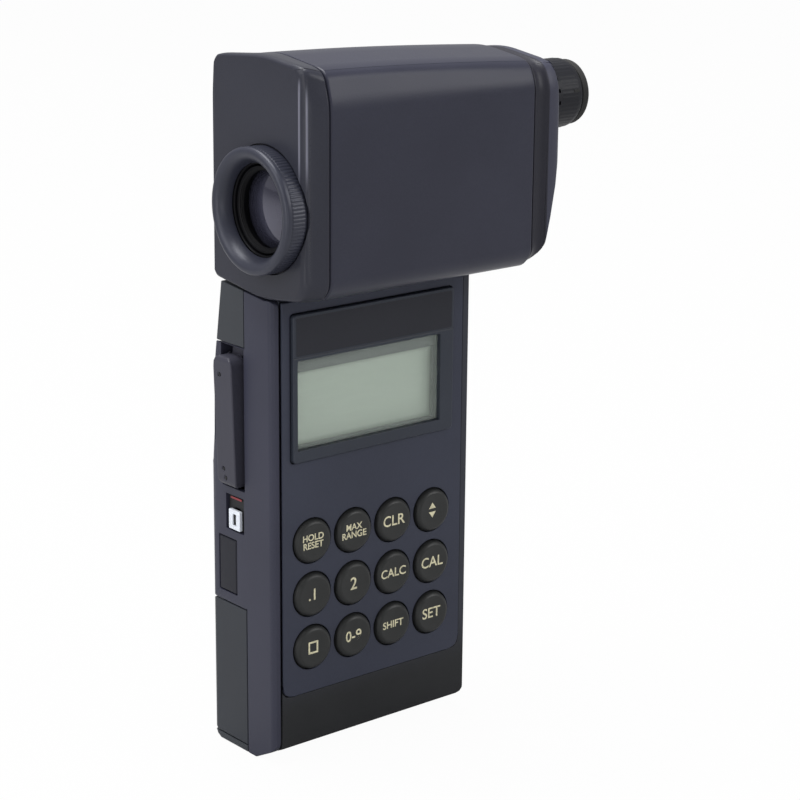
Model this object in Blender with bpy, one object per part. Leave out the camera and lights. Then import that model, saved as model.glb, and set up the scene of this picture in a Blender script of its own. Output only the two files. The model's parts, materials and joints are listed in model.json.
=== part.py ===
import math

import bmesh
import bpy
from mathutils import Matrix, Vector

# A hand-held luminance meter. +X runs from the objective to the eyepiece,
# the keypad faces -Y and +Z is up. The flat base of the grip lies on z = 0.

MM = 0.001
GAP = 0.3 * MM
TINY = 0.000001
FLAT = math.radians(0.05)

# Grip shells
GRIP_WIDTH = 71.2 * MM
GRIP_DEPTH = 30.0 * MM
GRIP_CORNER = 2.2 * MM
COVER_EDGE = 0.9 * MM
COVER_FOOT = 4.6 * MM
TOE_LENGTH = 9.0 * MM
BASE_HEEL = 3.6 * MM
WALL = 2.0 * MM
SEAM_DEPTH = 13.0 * MM
TOP_DEPTH = 25.0 * MM
SWELL_TOP = 112.7 * MM
SWELL_FOOT = 84.7 * MM
LEFT_RIM = 2.3 * MM
WEB = 2.6 * MM
WEB_RIM = 2.4 * MM
COVER_THICK = 2.2 * MM
COVER_CORNER = 2.6 * MM
SEAT_DEPTH = 1.0 * MM

# Head
HEAD_CENTRE = -11.3 * MM
HEAD_FLOOR = 136.5 * MM
HEAD_HEIGHT = 66.5 * MM
HEAD_WIDTH = 44.0 * MM
PLATE_WIDTH = 42.6 * MM
HEAD_WALL = 2.0 * MM
HEAD_LEFT = -36.3 * MM
BEZEL_DEPTH = 6.6 * MM
BODY_LENGTH = 72.7 * MM
WAIST_LENGTH = 5.0 * MM
WAIST_DEPTH = 0.9 * MM
RIM_LENGTH = 5.5 * MM
TOP_FALL = 3.0 * MM
REAR_FALL = 4.8 * MM
FLOOR_RISE = 2.0 * MM
FLOOR_THICK = 4.4 * MM
CHAMFER_WIDTH = 3.4 * MM
CHAMFER_HEIGHT = 3.8 * MM
FAR_CHAMFER = 1.0 * MM
FAR_FLARE = 0.8 * MM
FACET_DROP = 11.6 * MM
FACET_WIDTH = 2.4 * MM
EDGE_DROP = 3.6 * MM
EDGE_WIDTH = 3.2 * MM
CROWN_DROP = 2.3 * MM
HEAD_ROUND = 2.2 * MM
PLATE_ROUND = 1.0 * MM
KNEE_HEIGHT = 31.5 * MM
REAR_SLANT = 5.6 * MM
HEEL_HEIGHT = 6.6 * MM
HEEL_WIDTH = 3.6 * MM

# Keypad panel and keys
PANEL_LEFT = -32.6 * MM
PANEL_RIGHT = 33.0 * MM
PANEL_FOOT = 20.1 * MM
PANEL_TOP = 135.7 * MM
PANEL_THICK = 1.1 * MM
PANEL_PROUD = 0.4 * MM
PANEL_CORNER = 3.6 * MM
KEY_COLUMNS = 4
KEY_ROWS = 3
KEY_LEFT = -22.4 * MM
KEY_TOP = 65.7 * MM
KEY_STEP_X = 14.7 * MM
KEY_STEP_Z = 16.0 * MM
KEY_HOLE = 13.6 * MM
KEY_PLAY = 0.4 * MM
KEY_FACE = 11.6 * MM
KEY_PROUD = 1.5 * MM
KEY_DOME = 0.5 * MM
KEY_LIP = 0.6 * MM
KEY_FLANGE = 14.4 * MM
KEY_FLANGE_THICK = 0.8 * MM
KEY_STEM = 8.4 * MM
KEY_STROKE = 1.0 * MM
KEY_WINDOW_RIM = 0.9 * MM
MAT_THICK = 1.1 * MM
MAT_HOLE_PLAY = 0.5 * MM

# Display
BEZEL_LEFT = -29.5 * MM
BEZEL_RIGHT = 28.5 * MM
BEZEL_FOOT = 89.7 * MM
BEZEL_TOP = 132.0 * MM
BEZEL_PROUD = 1.2 * MM
BEZEL_CORNER = 1.2 * MM
WINDOW_INSET_LEFT = 1.5 * MM
WINDOW_INSET_RIGHT = 5.0 * MM
WINDOW_RISE = 3.5 * MM
WINDOW_DROP = 13.1 * MM
WINDOW_THICK = 1.2 * MM
LIT_INSET_LEFT = 0.6 * MM
LIT_INSET_RIGHT = 0.6 * MM
LIT_RISE = 0.6 * MM
LIT_DROP = 4.0 * MM
GLASS_RIM = 2.0 * MM
GLASS_THICK = 1.0 * MM
HOLDER_RIM = 1.6 * MM

# Circuit board and its screws
BOARD_THICK = 1.6 * MM
BOARD_WIDTH = 64.6 * MM
BOARD_FOOT = 16.7 * MM
BOARD_TOP = 124.7 * MM
BOARD_SCREW_X = 27.0 * MM
BOARD_SCREW_FOOT = 19.7 * MM
BOARD_SCREW_SHANK = 1.6 * MM
BOARD_SCREW_HEAD = 3.6 * MM
BOARD_SCREW_HEAD_THICK = 1.1 * MM
BOARD_SCREW_GRIP = 1.4 * MM
DISPLAY_OPENING_DROP = 6.1 * MM
DISPLAY_OPENING_RISE = 8.3 * MM
KEYS_OPENING_FOOT = 24.3 * MM
KEYS_OPENING_TOP = 75.7 * MM

# Case screws
CASE_SCREW_X = 28.0 * MM
CASE_SCREW_TOP = 130.2 * MM
CASE_SCREW_LOW_X = 20.0 * MM
CASE_SCREW_LOW = 81.2 * MM
CASE_SCREW_SHANK = 2.4 * MM
CASE_SCREW_HEAD = 5.2 * MM
CASE_SCREW_HEAD_THICK = 1.6 * MM
CASE_SCREW_SUNK = 0.8 * MM
CASE_SCREW_SLOT = 0.8 * MM
CASE_SCREW_SLOT_DEPTH = 0.6 * MM
CASE_SCREW_BITE = 5.0 * MM
BOSS = 6.4 * MM

# Trigger
TRIGGER_WIDTH = 8.7 * MM
TRIGGER_NEAR = -0.2 * MM
TRIGGER_FOOT_PLAY = 0.6 * MM
TRIGGER_LENGTH = 38.3 * MM
TRIGGER_PROUD = 3.3 * MM
TRIGGER_PROUD_FOOT = 2.0 * MM
TRIGGER_ROUND = 3.4 * MM
TRIGGER_FOOT_TAPER = 2.2 * MM
TRIGGER_BACK = 1.7 * MM
RIB_WIDTH = 5.2 * MM
RIB_REACH = 4.0 * MM
RIB_OVERLAP = 0.4 * MM
HOOK_HEIGHT = 1.6 * MM
HOOK_THICK = 1.5 * MM
SLOT_SPACE = 2.2 * MM
SLOT_HEADROOM = 2.6 * MM
SLOT_PLAY = 0.4 * MM
PIVOT_RISE = 2.9 * MM
PIVOT_INSET = 3.8 * MM
HUB = 4.6 * MM
PIN = 1.7 * MM
PIN_PLAY = 0.25 * MM
PIN_PROUD = 0.3 * MM
EAR_THICK = 1.1 * MM
EAR_ROOT = 1.7 * MM
EAR_REACH = 6.4 * MM
EAR_RISE = 2.8 * MM
MICRO_LENGTH = 8.0 * MM
MICRO_WIDTH = 5.4 * MM
MICRO_HEIGHT = 12.0 * MM
MICRO_DROP = 4.2 * MM
MICRO_PLUNGER = 1.6 * MM
MICRO_PLUNGER_REACH = 0.7 * MM
MICRO_PLUNGER_GAP = 1.9 * MM

# Power switch
SWITCH_NEAR = -1.2 * MM
SWITCH_WIDTH = 8.6 * MM
SWITCH_SPACE = 2.5 * MM
SWITCH_HEIGHT = 10.6 * MM
TRAY_SUNK = 1.0 * MM
TRAY_FLANGE = 0.7 * MM
TRAY_FLANGE_THICK = 1.1 * MM
KNOB_WIDTH = 5.2 * MM
KNOB_HEIGHT = 5.8 * MM
KNOB_THICK = 1.0 * MM
KNOB_STROKE = 2.0 * MM
KNOB_STEM_WIDTH = 1.8 * MM
KNOB_STEM_HEIGHT = 2.0 * MM
KNOB_STEM_REACH = 4.4 * MM
KNOB_GROOVE_WIDTH = 1.6 * MM
KNOB_GROOVE_HEIGHT = 3.4 * MM
KNOB_GROOVE_DEPTH = 0.5 * MM
MARK_HEIGHT = 0.6 * MM
MARK_THICK = 0.3 * MM

# Jack and its cover
JACK_NEAR = 2.5 * MM
JACK_WIDTH = 8.6 * MM
JACK_SPACE = 2.9 * MM
JACK_HEIGHT = 16.8 * MM
JACK_SEAT_DEPTH = 1.3 * MM
JACK_LIP = 1.5 * MM
JACK_PLUG_PLAY = 0.6 * MM
JACK_BODY_LENGTH = 11.0 * MM
JACK_BODY_WIDTH = 6.0 * MM
JACK_BODY_HEIGHT = 11.0 * MM
JACK_BORE = 3.6 * MM
JACK_BORE_DEPTH = 8.5 * MM

# Battery box, cover and cells
BATTERY_TOP = 44.0 * MM
BOX_WALL = 1.8 * MM
BOX_FRONT = -6.3 * MM
BOX_RIM = 2.0 * MM
CELL_WIDTH = 14.4 * MM
CONTACT_REACH = 6.0 * MM
CELL_NUB = 5.4 * MM
CELL_NUB_LENGTH = 1.1 * MM
CELL_BASE = 0.9 * MM
CELL_STEP = 15.2 * MM
CONTACT_THICK = 0.5 * MM
CONTACT_WIDTH = 9.0 * MM
CONTACT_HEIGHT = 9.0 * MM
SPRING_FOOT = 6.4 * MM
SPRING_TIP = 4.0 * MM

# Neck bolt
BOLT_X = 0.0 * MM
BOLT_Y = 2.4 * MM
BOLT_SHANK = 5.0 * MM
BOLT_HEAD = 8.6 * MM
BOLT_HEAD_THICK = 3.0 * MM
BOLT_SOCKET = 4.0 * MM
BOLT_SOCKET_DEPTH = 1.8 * MM
BOLT_BITE = 6.0 * MM
NECK_BOSS = 8.0 * MM
NECK_BOSS_LENGTH = 8.0 * MM
NECK_PLATE_LENGTH = 30.0 * MM
NECK_PLATE_WIDTH = 8.2 * MM
NECK_PLATE_THICK = 1.5 * MM

# Objective and focus ring
LENS_Y = -13.4 * MM
LENS_RISE = 25.2 * MM
RING_WIDTH = 34.6 * MM
RING_PROUD = 5.8 * MM
RING_SUNK = 1.2 * MM
RING_RIM = 1.9 * MM
RING_RIM_BEVEL = 0.7 * MM
RING_TEETH = 60
RING_TOOTH = 0.35 * MM
RING_WALL = 3.4 * MM
RING_STEP = 0.9 * MM
RING_FLARE = 0.8 * MM
BARREL_WALL = 1.3 * MM
BARREL_PROUD = 1.4 * MM
BARREL_LENGTH = 34.0 * MM
BARREL_FLANGE = 34.0 * MM
BARREL_FLANGE_THICK = 1.6 * MM
PLATE_THICK = 3.0 * MM
CELL_TUBE_PLAY = 0.4 * MM
CELL_TUBE_WALL = 0.6 * MM
CELL_TUBE_LENGTH = 16.0 * MM
CELL_TUBE_LIP = 1.6 * MM
CELL_TUBE_LIP_REACH = 0.8 * MM
CELL_TUBE_BACK = 0.8 * MM
LENS_THICK = 5.2 * MM
LENS_EDGE = 2.4 * MM

# Optics behind the objective
CHASSIS_LEFT = 2.0 * MM
CHASSIS_LENGTH = 34.0 * MM
CHASSIS_WIDTH = 22.0 * MM
CHASSIS_WALL = 1.6 * MM
CHASSIS_DROP = 10.3 * MM
MIRROR_SIZE = 21.0 * MM
MIRROR_THICK = 1.6 * MM
MIRROR_HOLE = 2.0 * MM
MIRROR_X = 13.0 * MM
SENSOR_WIDTH = 12.0 * MM
SENSOR_LENGTH = 7.0 * MM
SENSOR_X = 24.0 * MM
SENSOR_BOARD = 17.0 * MM
SENSOR_BOARD_THICK = 1.6 * MM
SENSOR_BORE = 5.0 * MM
SENSOR_BORE_DEPTH = 2.0 * MM
PRISM_SIZE = 14.0 * MM

# Eyepiece
EYE_DROP = 19.1 * MM
EYE_TUBE = 16.4 * MM
EYE_BORE = 13.6 * MM
EYE_TUBE_INSIDE = 6.0 * MM
EYE_FLANGE = 18.8 * MM
EYE_FLANGE_THICK = 1.4 * MM
EYE_TUBE_LENGTH = 17.4 * MM
DIOPTRE_WIDTH = 20.4 * MM
DIOPTRE_LENGTH = 17.6 * MM
DIOPTRE_FLUTES = 24
DIOPTRE_FLUTE = 0.4 * MM
DIOPTRE_COLLAR = 1.6 * MM
CUP_LENGTH = 2.6 * MM
CUP_BORE = 12.0 * MM
CUP_ROUND = 1.0 * MM
EYE_LENS_THICK = 3.6 * MM
EYE_LENS_EDGE = 1.6 * MM
EYE_LENS_SUNK = 1.0 * MM

# Enlargement in which solids are joined and cut
WORK_SCALE = 1000.0

# Counts for round work
SEGMENTS = 40
SMALL_SEGMENTS = 24
KEY_SEGMENTS = 20
HOLE_SEGMENTS = 32
CORNER_SEGMENTS = 3

# Heights along a key's face as shares of its dome, with shares of its radius
KEY_DOME_SHARES = ((0.0, 1.0), (0.55, 0.82), (0.86, 0.34))

# Rings of a lens face as shares of its radius
LENS_SHARES = (0.45, 0.8)

# Fall of the head's crown, as (share of the body's length, share of the fall)
BODY_FALL_SHARES = ((0.0, 0.0), (0.35, 0.2), (0.7, 0.56), (1.0, 1.0))

# Derived places
HEAD_TOP = HEAD_FLOOR + HEAD_HEIGHT
LENS_Z = HEAD_FLOOR + LENS_RISE
EYE_Z = HEAD_TOP - EYE_DROP
CHASSIS_TOP = HEAD_TOP - CHASSIS_DROP
LEFT = -GRIP_WIDTH / 2
RIGHT = GRIP_WIDTH / 2
FRONT = -GRIP_DEPTH / 2
BACK = GRIP_DEPTH / 2
SEAM = FRONT + SEAM_DEPTH
TOP_BACK = FRONT + TOP_DEPTH
COVER_BACK = FRONT + COVER_THICK
WINDOW_LEFT = BEZEL_LEFT + WINDOW_INSET_LEFT
WINDOW_RIGHT = BEZEL_RIGHT - WINDOW_INSET_RIGHT
WINDOW_FOOT = BEZEL_FOOT + WINDOW_RISE
WINDOW_TOP = BEZEL_TOP - WINDOW_DROP
LIT_LEFT = WINDOW_LEFT + LIT_INSET_LEFT
LIT_RIGHT = WINDOW_RIGHT - LIT_INSET_RIGHT
LIT_FOOT = WINDOW_FOOT + LIT_RISE
LIT_TOP = WINDOW_TOP - LIT_DROP
DISPLAY_OPENING_FOOT = LIT_FOOT - DISPLAY_OPENING_DROP
DISPLAY_OPENING_TOP = LIT_TOP + DISPLAY_OPENING_RISE
JACK_FOOT = BATTERY_TOP + JACK_SPACE
SWITCH_FOOT = JACK_FOOT + JACK_HEIGHT + SWITCH_SPACE
SLOT_FOOT = SWITCH_FOOT + SWITCH_HEIGHT + SLOT_SPACE
TRIGGER_FOOT = SLOT_FOOT + TRIGGER_FOOT_PLAY
TRIGGER_TOP = TRIGGER_FOOT + TRIGGER_LENGTH
SLOT_TOP = TRIGGER_TOP + SLOT_HEADROOM
PIVOT_HEIGHT = TRIGGER_FOOT + PIVOT_RISE
EAR_TOP = PIVOT_HEIGHT + EAR_RISE
MICRO_TOP = TRIGGER_TOP - MICRO_DROP
WEB_FRONT = COVER_BACK + GAP
WEB_BACK = WEB_FRONT + WEB
BOARD_FRONT = WEB_BACK + GAP
BOARD_BACK = BOARD_FRONT + BOARD_THICK
SEAT = FRONT + SEAT_DEPTH
PANEL_FRONT = FRONT - PANEL_PROUD
PANEL_BACK = PANEL_FRONT + PANEL_THICK
BODY_LEFT = HEAD_LEFT + BEZEL_DEPTH
BODY_RIGHT = BODY_LEFT + BODY_LENGTH
REAR = BODY_RIGHT + WAIST_LENGTH + RIM_LENGTH
BARREL_END = HEAD_LEFT - BARREL_PROUD + BARREL_LENGTH
BARREL_WIDTH = RING_WIDTH - (RING_WALL + GAP) * 2
BARREL_BORE = BARREL_WIDTH - BARREL_WALL * 2
RING_THROAT = BARREL_WIDTH - RING_STEP * 2
RING_MOUTH = RING_THROAT + RING_FLARE * 2
CELL_TUBE_WIDTH = BARREL_BORE - CELL_TUBE_PLAY * 2
CELL_TUBE_BORE = CELL_TUBE_WIDTH - CELL_TUBE_WALL * 2
CELL_TUBE_LIP_BORE = CELL_TUBE_BORE - CELL_TUBE_LIP_REACH * 2
CELL_ROOM = RIGHT - WALL - GAP - BOX_WALL
CELL_LENGTH = (CELL_ROOM - GAP - CONTACT_THICK - CONTACT_REACH) * 2
REAR_SLACK = SEAM + GAP / 2
FRONT_SLACK = SEAM - GAP / 2


def reset():
    for thing in list(bpy.data.objects):
        bpy.data.objects.remove(thing, do_unlink=True)


def linear(value):
    # one colour channel from its display value to its linear value
    return value / 12.92 if value <= 0.04045 else ((value + 0.055) / 1.055) ** 2.4


def finish(name, rgb, roughness, metallic=0.0, alpha=1.0):
    material = bpy.data.materials.new(name)
    material.use_nodes = True
    shader = material.node_tree.nodes["Principled BSDF"]
    tone = [linear(channel / 255) for channel in rgb] + [1.0]
    shader.inputs["Base Color"].default_value = tone
    shader.inputs["Roughness"].default_value = roughness
    shader.inputs["Metallic"].default_value = metallic
    shader.inputs["Alpha"].default_value = alpha
    material.diffuse_color = tone
    return material


def place(name, mesh_work):
    # turns geometry given in world places into a named object
    bmesh.ops.recalc_face_normals(mesh_work, faces=mesh_work.faces)
    mesh = bpy.data.meshes.new(name)
    mesh_work.to_mesh(mesh)
    mesh_work.free()
    thing = bpy.data.objects.new(name, mesh)
    bpy.context.scene.collection.objects.link(thing)
    return thing


def fillet(points, radii, steps=CORNER_SEGMENTS):
    # an outline whose corners are rounded, one radius for each corner
    outline = []
    count = len(points)
    for index, corner in enumerate(points):
        radius = radii[index] if isinstance(radii, (list, tuple)) else radii
        here = Vector(corner)
        before = Vector(points[index - 1])
        after = Vector(points[(index + 1) % count])
        if radius <= TINY:
            outline.append(tuple(here))
            continue
        start = here + (before - here).normalized() * radius
        end = here + (after - here).normalized() * radius
        for step in range(steps + 1):
            t = step / steps
            spot = start * (1 - t) ** 2 + here * 2 * t * (1 - t) + end * t ** 2
            outline.append(tuple(spot))
    return outline


def rectangle(left, right, low, high, radius=0.0, steps=CORNER_SEGMENTS):
    return fillet([(left, low), (right, low), (right, high), (left, high)], radius, steps)


def at(axis, along, first, second):
    # a point from its place along an axis and its two other coordinates
    if axis == "X":
        return (along, first, second)
    if axis == "Y":
        return (first, along, second)
    return (first, second, along)


def loft(stations, axis="X"):
    # a closed solid through outlines of equal length, given as (along, outline)
    work = bmesh.new()
    rings = [[work.verts.new(at(axis, along, *spot)) for spot in outline]
             for along, outline in stations]
    for ring, other in zip(rings, rings[1:]):
        count = len(ring)
        for index in range(count):
            after = (index + 1) % count
            work.faces.new((ring[index], ring[after], other[after], other[index]))
    work.faces.new(rings[0])
    work.faces.new(rings[-1])
    return work


def prism(outline, axis, start, end):
    return loft([(start, outline), (end, outline)], axis)


def block(left, right, near, far, low, high, radius=0.0, axis="Z"):
    if axis == "Z":
        return prism(rectangle(left, right, near, far, radius), "Z", low, high)
    if axis == "Y":
        return prism(rectangle(left, right, low, high, radius), "Y", near, far)
    return prism(rectangle(near, far, low, high, radius), "X", left, right)


def turned(profile, axis, first, second, count=SEGMENTS, hollow=False):
    # a solid of revolution from (radius, along) pairs round a line along axis
    work = bmesh.new()
    rings = []
    for radius, along in profile:
        if radius <= TINY:
            rings.append([work.verts.new(at(axis, along, first, second))])
            continue
        ring = []
        for index in range(count):
            angle = 2 * math.pi * index / count
            spot = at(axis, along, first + radius * math.cos(angle),
                      second + radius * math.sin(angle))
            ring.append(work.verts.new(spot))
        rings.append(ring)
    pairs = list(zip(rings, rings[1:]))
    if hollow:
        pairs.append((rings[-1], rings[0]))
    for ring, other in pairs:
        for index in range(count):
            after = (index + 1) % count
            if len(ring) == 1 and len(other) == 1:
                continue
            if len(ring) == 1:
                work.faces.new((ring[0], other[after], other[index]))
            elif len(other) == 1:
                work.faces.new((ring[index], ring[after], other[0]))
            else:
                work.faces.new((ring[index], ring[after], other[after], other[index]))
    return work


def rod(radius, axis, first, second, start, end, count=SMALL_SEGMENTS):
    return turned([(0, start), (radius, start), (radius, end), (0, end)],
                  axis, first, second, count)


def tube(outer, inner, axis, first, second, start, end, count=SEGMENTS):
    return turned([(outer, start), (outer, end), (inner, end), (inner, start)],
                  axis, first, second, count, hollow=True)


def combine(target, work, operation):
    # joins or cuts one solid into the target and keeps the plain result
    tool = place(target.name + "_tool", work)
    tool.hide_render = True
    tool.display_type = "WIRE"
    for mesh in (tool.data, target.data):
        triangles = bmesh.new()
        triangles.from_mesh(mesh)
        bmesh.ops.triangulate(triangles, faces=triangles.faces)
        triangles.to_mesh(mesh)
        triangles.free()
        mesh.transform(Matrix.Scale(WORK_SCALE, 4))
    change = target.modifiers.new("change", "BOOLEAN")
    change.operation = operation
    change.solver = "EXACT"
    change.object = tool
    bpy.context.view_layer.update()
    graph = bpy.context.evaluated_depsgraph_get()
    result = bpy.data.meshes.new_from_object(target.evaluated_get(graph))
    result.transform(Matrix.Scale(1 / WORK_SCALE, 4))
    target.modifiers.clear()
    target.data = result
    bpy.data.objects.remove(tool, do_unlink=True)
    return target


def taken(thing):
    # the geometry of a helper object, which is removed
    work = bmesh.new()
    work.from_mesh(thing.data)
    bpy.data.objects.remove(thing, do_unlink=True)
    return work


def cut(target, *solids):
    for work in solids:
        combine(target, work, "DIFFERENCE")
    return target


def join(target, *solids):
    for work in solids:
        combine(target, work, "UNION")
    return target


def clad(thing, material, origin=(0, 0, 0), angle=30):
    # clears flat seams and sets the finish, the origin and the smoothing of a piece
    mesh = thing.data
    work = bmesh.new()
    work.from_mesh(mesh)
    bmesh.ops.remove_doubles(work, verts=work.verts, dist=TINY)
    bmesh.ops.dissolve_limit(work, angle_limit=FLAT, verts=work.verts, edges=work.edges)
    bmesh.ops.triangulate(work, faces=work.faces)
    work.to_mesh(mesh)
    work.free()
    mesh.name = thing.name
    mesh.materials.clear()
    mesh.materials.append(material)
    mesh.transform(Matrix.Translation(-Vector(origin)))
    thing.location = origin
    mesh.shade_smooth()
    mesh.set_sharp_from_angle(angle=math.radians(angle))
    return thing


def round_edges(work, chosen, radius, steps=2):
    # rounds the edges of a solid whose two ends both pass the test
    edges = [edge for edge in work.edges if all(chosen(v.co) for v in edge.verts)]
    bmesh.ops.bevel(work, geom=edges, offset=radius, segments=steps, profile=0.5,
                    affect="EDGES", clamp_overlap=True)
    return work


def head_floor(y):
    # height of the underside of the head at a depth y
    slope = FLOOR_RISE / (HEAD_WIDTH / 2 - CHAMFER_WIDTH)
    return HEAD_FLOOR + slope * abs(y - HEAD_CENTRE)


def head_outline(width, top, rounding, fall=0.0):
    # cross-section of the head: shallow keel, near chamfer, flat sides, crowned top
    half = width / 2
    foot = half - CHAMFER_WIDTH
    rise = HEAD_FLOOR + FLOOR_RISE
    wide = half + FAR_FLARE
    far_rise = HEAD_FLOOR + FLOOR_RISE * (wide - FAR_CHAMFER) / foot
    upper = [(half, top - FACET_DROP + fall), (half - FACET_WIDTH, top - EDGE_DROP),
             (half - FACET_WIDTH - EDGE_WIDTH, top - CROWN_DROP)]
    corners = [(0, HEAD_FLOOR), (wide - FAR_CHAMFER, far_rise), (wide, far_rise + FAR_CHAMFER)]
    corners += upper + [(0, top)] + [(-u, z) for u, z in reversed(upper)]
    corners += [(-half, rise + CHAMFER_HEIGHT), (-foot, rise)]
    radii = [rounding] * len(corners)
    radii[1] = radii[2] = FAR_CHAMFER / 2
    outline = fillet(corners, radii)
    return [(HEAD_CENTRE + u, z) for u, z in outline]


def toe_at(y):
    # height of the sloping toe of the base at a depth y
    return COVER_FOOT * (FRONT + TOE_LENGTH - y) / TOE_LENGTH


def front_case():
    # front half of the grip: the left border, the side walls, floor and web
    outline = [(FRONT, COVER_FOOT), (FRONT + TOE_LENGTH, 0), (FRONT_SLACK, 0),
               (FRONT_SLACK, head_floor(FRONT_SLACK) - GAP),
               (HEAD_CENTRE, HEAD_FLOOR - GAP), (FRONT, head_floor(FRONT) - GAP)]
    work = prism(outline, "X", LEFT, RIGHT)
    round_edges(work, lambda co: co.y < FRONT + TINY and abs(co.x) > RIGHT - TINY, GRIP_CORNER, 3)
    case = place("front_case", work)
    wall = RIGHT - WALL
    top = HEAD_FLOOR - GAP - WALL
    cut(case,
        block(LEFT + LEFT_RIM, RIGHT + WALL, FRONT - WALL, WEB_FRONT, -WALL, HEAD_TOP),
        prism([(WEB_BACK, top), (WEB_BACK, toe_at(WEB_BACK) + WALL),
               (FRONT + TOE_LENGTH, WALL), (SEAM + WALL, WALL), (SEAM + WALL, top)],
              "X", -wall, wall))
    opening = wall - WEB_RIM
    for low, high in ((KEYS_OPENING_FOOT, KEYS_OPENING_TOP),
                      (DISPLAY_OPENING_FOOT, DISPLAY_OPENING_TOP)):
        cut(case, block(-opening, opening, FRONT, BACK, low, high))
    for x, z in case_screw_places():
        join(case, rod(BOSS / 2, "Y", x, z, WEB_BACK - WEB / 2, FRONT_SLACK - GAP))
        cut(case, rod(CASE_SCREW_SHANK / 2 + PIN_PLAY, "Y", x, z,
                      FRONT_SLACK - CASE_SCREW_BITE - GAP * 2, SEAM + WALL))
    for x, z in board_screw_places():
        cut(case, rod(BOARD_SCREW_SHANK / 2 + PIN_PLAY, "Y", x, z,
                      BOARD_FRONT - BOARD_SCREW_GRIP - GAP * 2, SEAM))
    return clad(case, NAVY)


def case_screw_places():
    return [(side * x, z) for x, z in ((CASE_SCREW_X, CASE_SCREW_TOP),
                                       (CASE_SCREW_LOW_X, CASE_SCREW_LOW))
            for side in (-1, 1)]


def board_screw_places():
    return [(side * BOARD_SCREW_X, BOARD_SCREW_FOOT) for side in (-1, 1)]


def front_cover():
    # dark plate over the front, seen below the keypad panel and at its right
    left = LEFT + LEFT_RIM + GAP
    high = HEAD_FLOOR - GAP
    stations = []
    for y in (FRONT, COVER_BACK):
        low = toe_at(y)
        stations.append((y, fillet([(left, low), (RIGHT, low), (RIGHT, high), (left, high)],
                                   [0, COVER_CORNER, 0, 0])))
    work = loft(stations, "Y")
    round_edges(work, lambda co: co.y < FRONT + TINY and co.x > RIGHT - TINY, COVER_EDGE, 2)
    cover = place("front_cover", work)
    cut(cover, block(PANEL_LEFT - GAP, PANEL_RIGHT + GAP, FRONT - WALL, SEAT,
                     PANEL_FOOT - GAP, HEAD_TOP, PANEL_CORNER, "Y"))
    reach = KEY_FLANGE / 2 + KEY_WINDOW_RIM
    last = KEY_LEFT + (KEY_COLUMNS - 1) * KEY_STEP_X
    foot = KEY_TOP - (KEY_ROWS - 1) * KEY_STEP_Z
    cut(cover,
        block(KEY_LEFT - reach, last + reach, FRONT - WALL, SEAM, foot - reach,
              KEY_TOP + reach, KEY_WINDOW_RIM, "Y"),
        block(LIT_LEFT, LIT_RIGHT, FRONT - WALL, SEAM, LIT_FOOT, LIT_TOP))
    return clad(cover, BLACK)


def keypad_panel():
    # raised plate with a round hole for each key and an opening for the display
    outline = fillet([(PANEL_LEFT, PANEL_FOOT), (PANEL_RIGHT, PANEL_FOOT),
                      (PANEL_RIGHT, PANEL_TOP), (PANEL_LEFT, PANEL_TOP)],
                     [PANEL_CORNER, PANEL_CORNER, 0, 0], CORNER_SEGMENTS + 1)
    work = prism(outline, "Y", PANEL_FRONT, PANEL_BACK)
    round_edges(work, lambda co: co.y < PANEL_FRONT + TINY, PANEL_PROUD / 2, 1)
    panel = place("keypad_panel", work)
    cut(panel, block(BEZEL_LEFT - GAP, BEZEL_RIGHT + GAP, FRONT - WALL, SEAM,
                     BEZEL_FOOT - GAP, BEZEL_TOP + GAP, BEZEL_CORNER, "Y"))
    for _, x, z in key_places():
        cut(panel, rod(KEY_HOLE / 2, "Y", x, z, FRONT - WALL, SEAM, HOLE_SEGMENTS))
    return clad(panel, NAVY_PANEL)


def key_places():
    # name and centre of each key, row by row from the top
    for row in range(KEY_ROWS):
        for column in range(KEY_COLUMNS):
            name = f"key_{row + 1}{column + 1}"
            yield name, KEY_LEFT + column * KEY_STEP_X, KEY_TOP - row * KEY_STEP_Z


def key(name, x, z):
    # a domed round key with a retaining flange and a stem
    crest = PANEL_FRONT - KEY_PROUD
    rim = crest + KEY_DOME
    barrel = KEY_HOLE / 2 - KEY_PLAY
    flange = PANEL_BACK + GAP
    shelf = flange + KEY_FLANGE_THICK
    profile = [(0, crest)]
    for reach, height in reversed(KEY_DOME_SHARES):
        if reach > 0:
            profile.insert(1, (KEY_FACE / 2 * reach, rim - KEY_DOME * height))
    profile += [(KEY_FACE / 2, rim), (barrel, rim + KEY_LIP), (barrel, flange),
                (KEY_FLANGE / 2, flange), (KEY_FLANGE / 2, shelf), (KEY_STEM / 2, shelf),
                (KEY_STEM / 2, BOARD_FRONT - KEY_STROKE - GAP * 2),
                (0, BOARD_FRONT - KEY_STROKE - GAP * 2)]
    cap = place(name, turned(profile, "Y", x, z, KEY_SEGMENTS))
    return clad(cap, BLACK_KEY, (x, crest, z))


def keypad_mat():
    # rubber sheet behind the keys, pierced for their stems
    inset = WALL + WEB_RIM + GAP
    back = BOARD_FRONT - GAP * 2
    mat = place("keypad_mat", block(LEFT + inset, RIGHT - inset, back - MAT_THICK, back,
                                    KEYS_OPENING_FOOT + GAP, KEYS_OPENING_TOP - GAP, GAP, "Y"))
    for _, x, z in key_places():
        cut(mat, rod(KEY_STEM / 2 + MAT_HOLE_PLAY, "Y", x, z, FRONT, BACK, KEY_SEGMENTS))
    return clad(mat, RUBBER)


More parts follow.
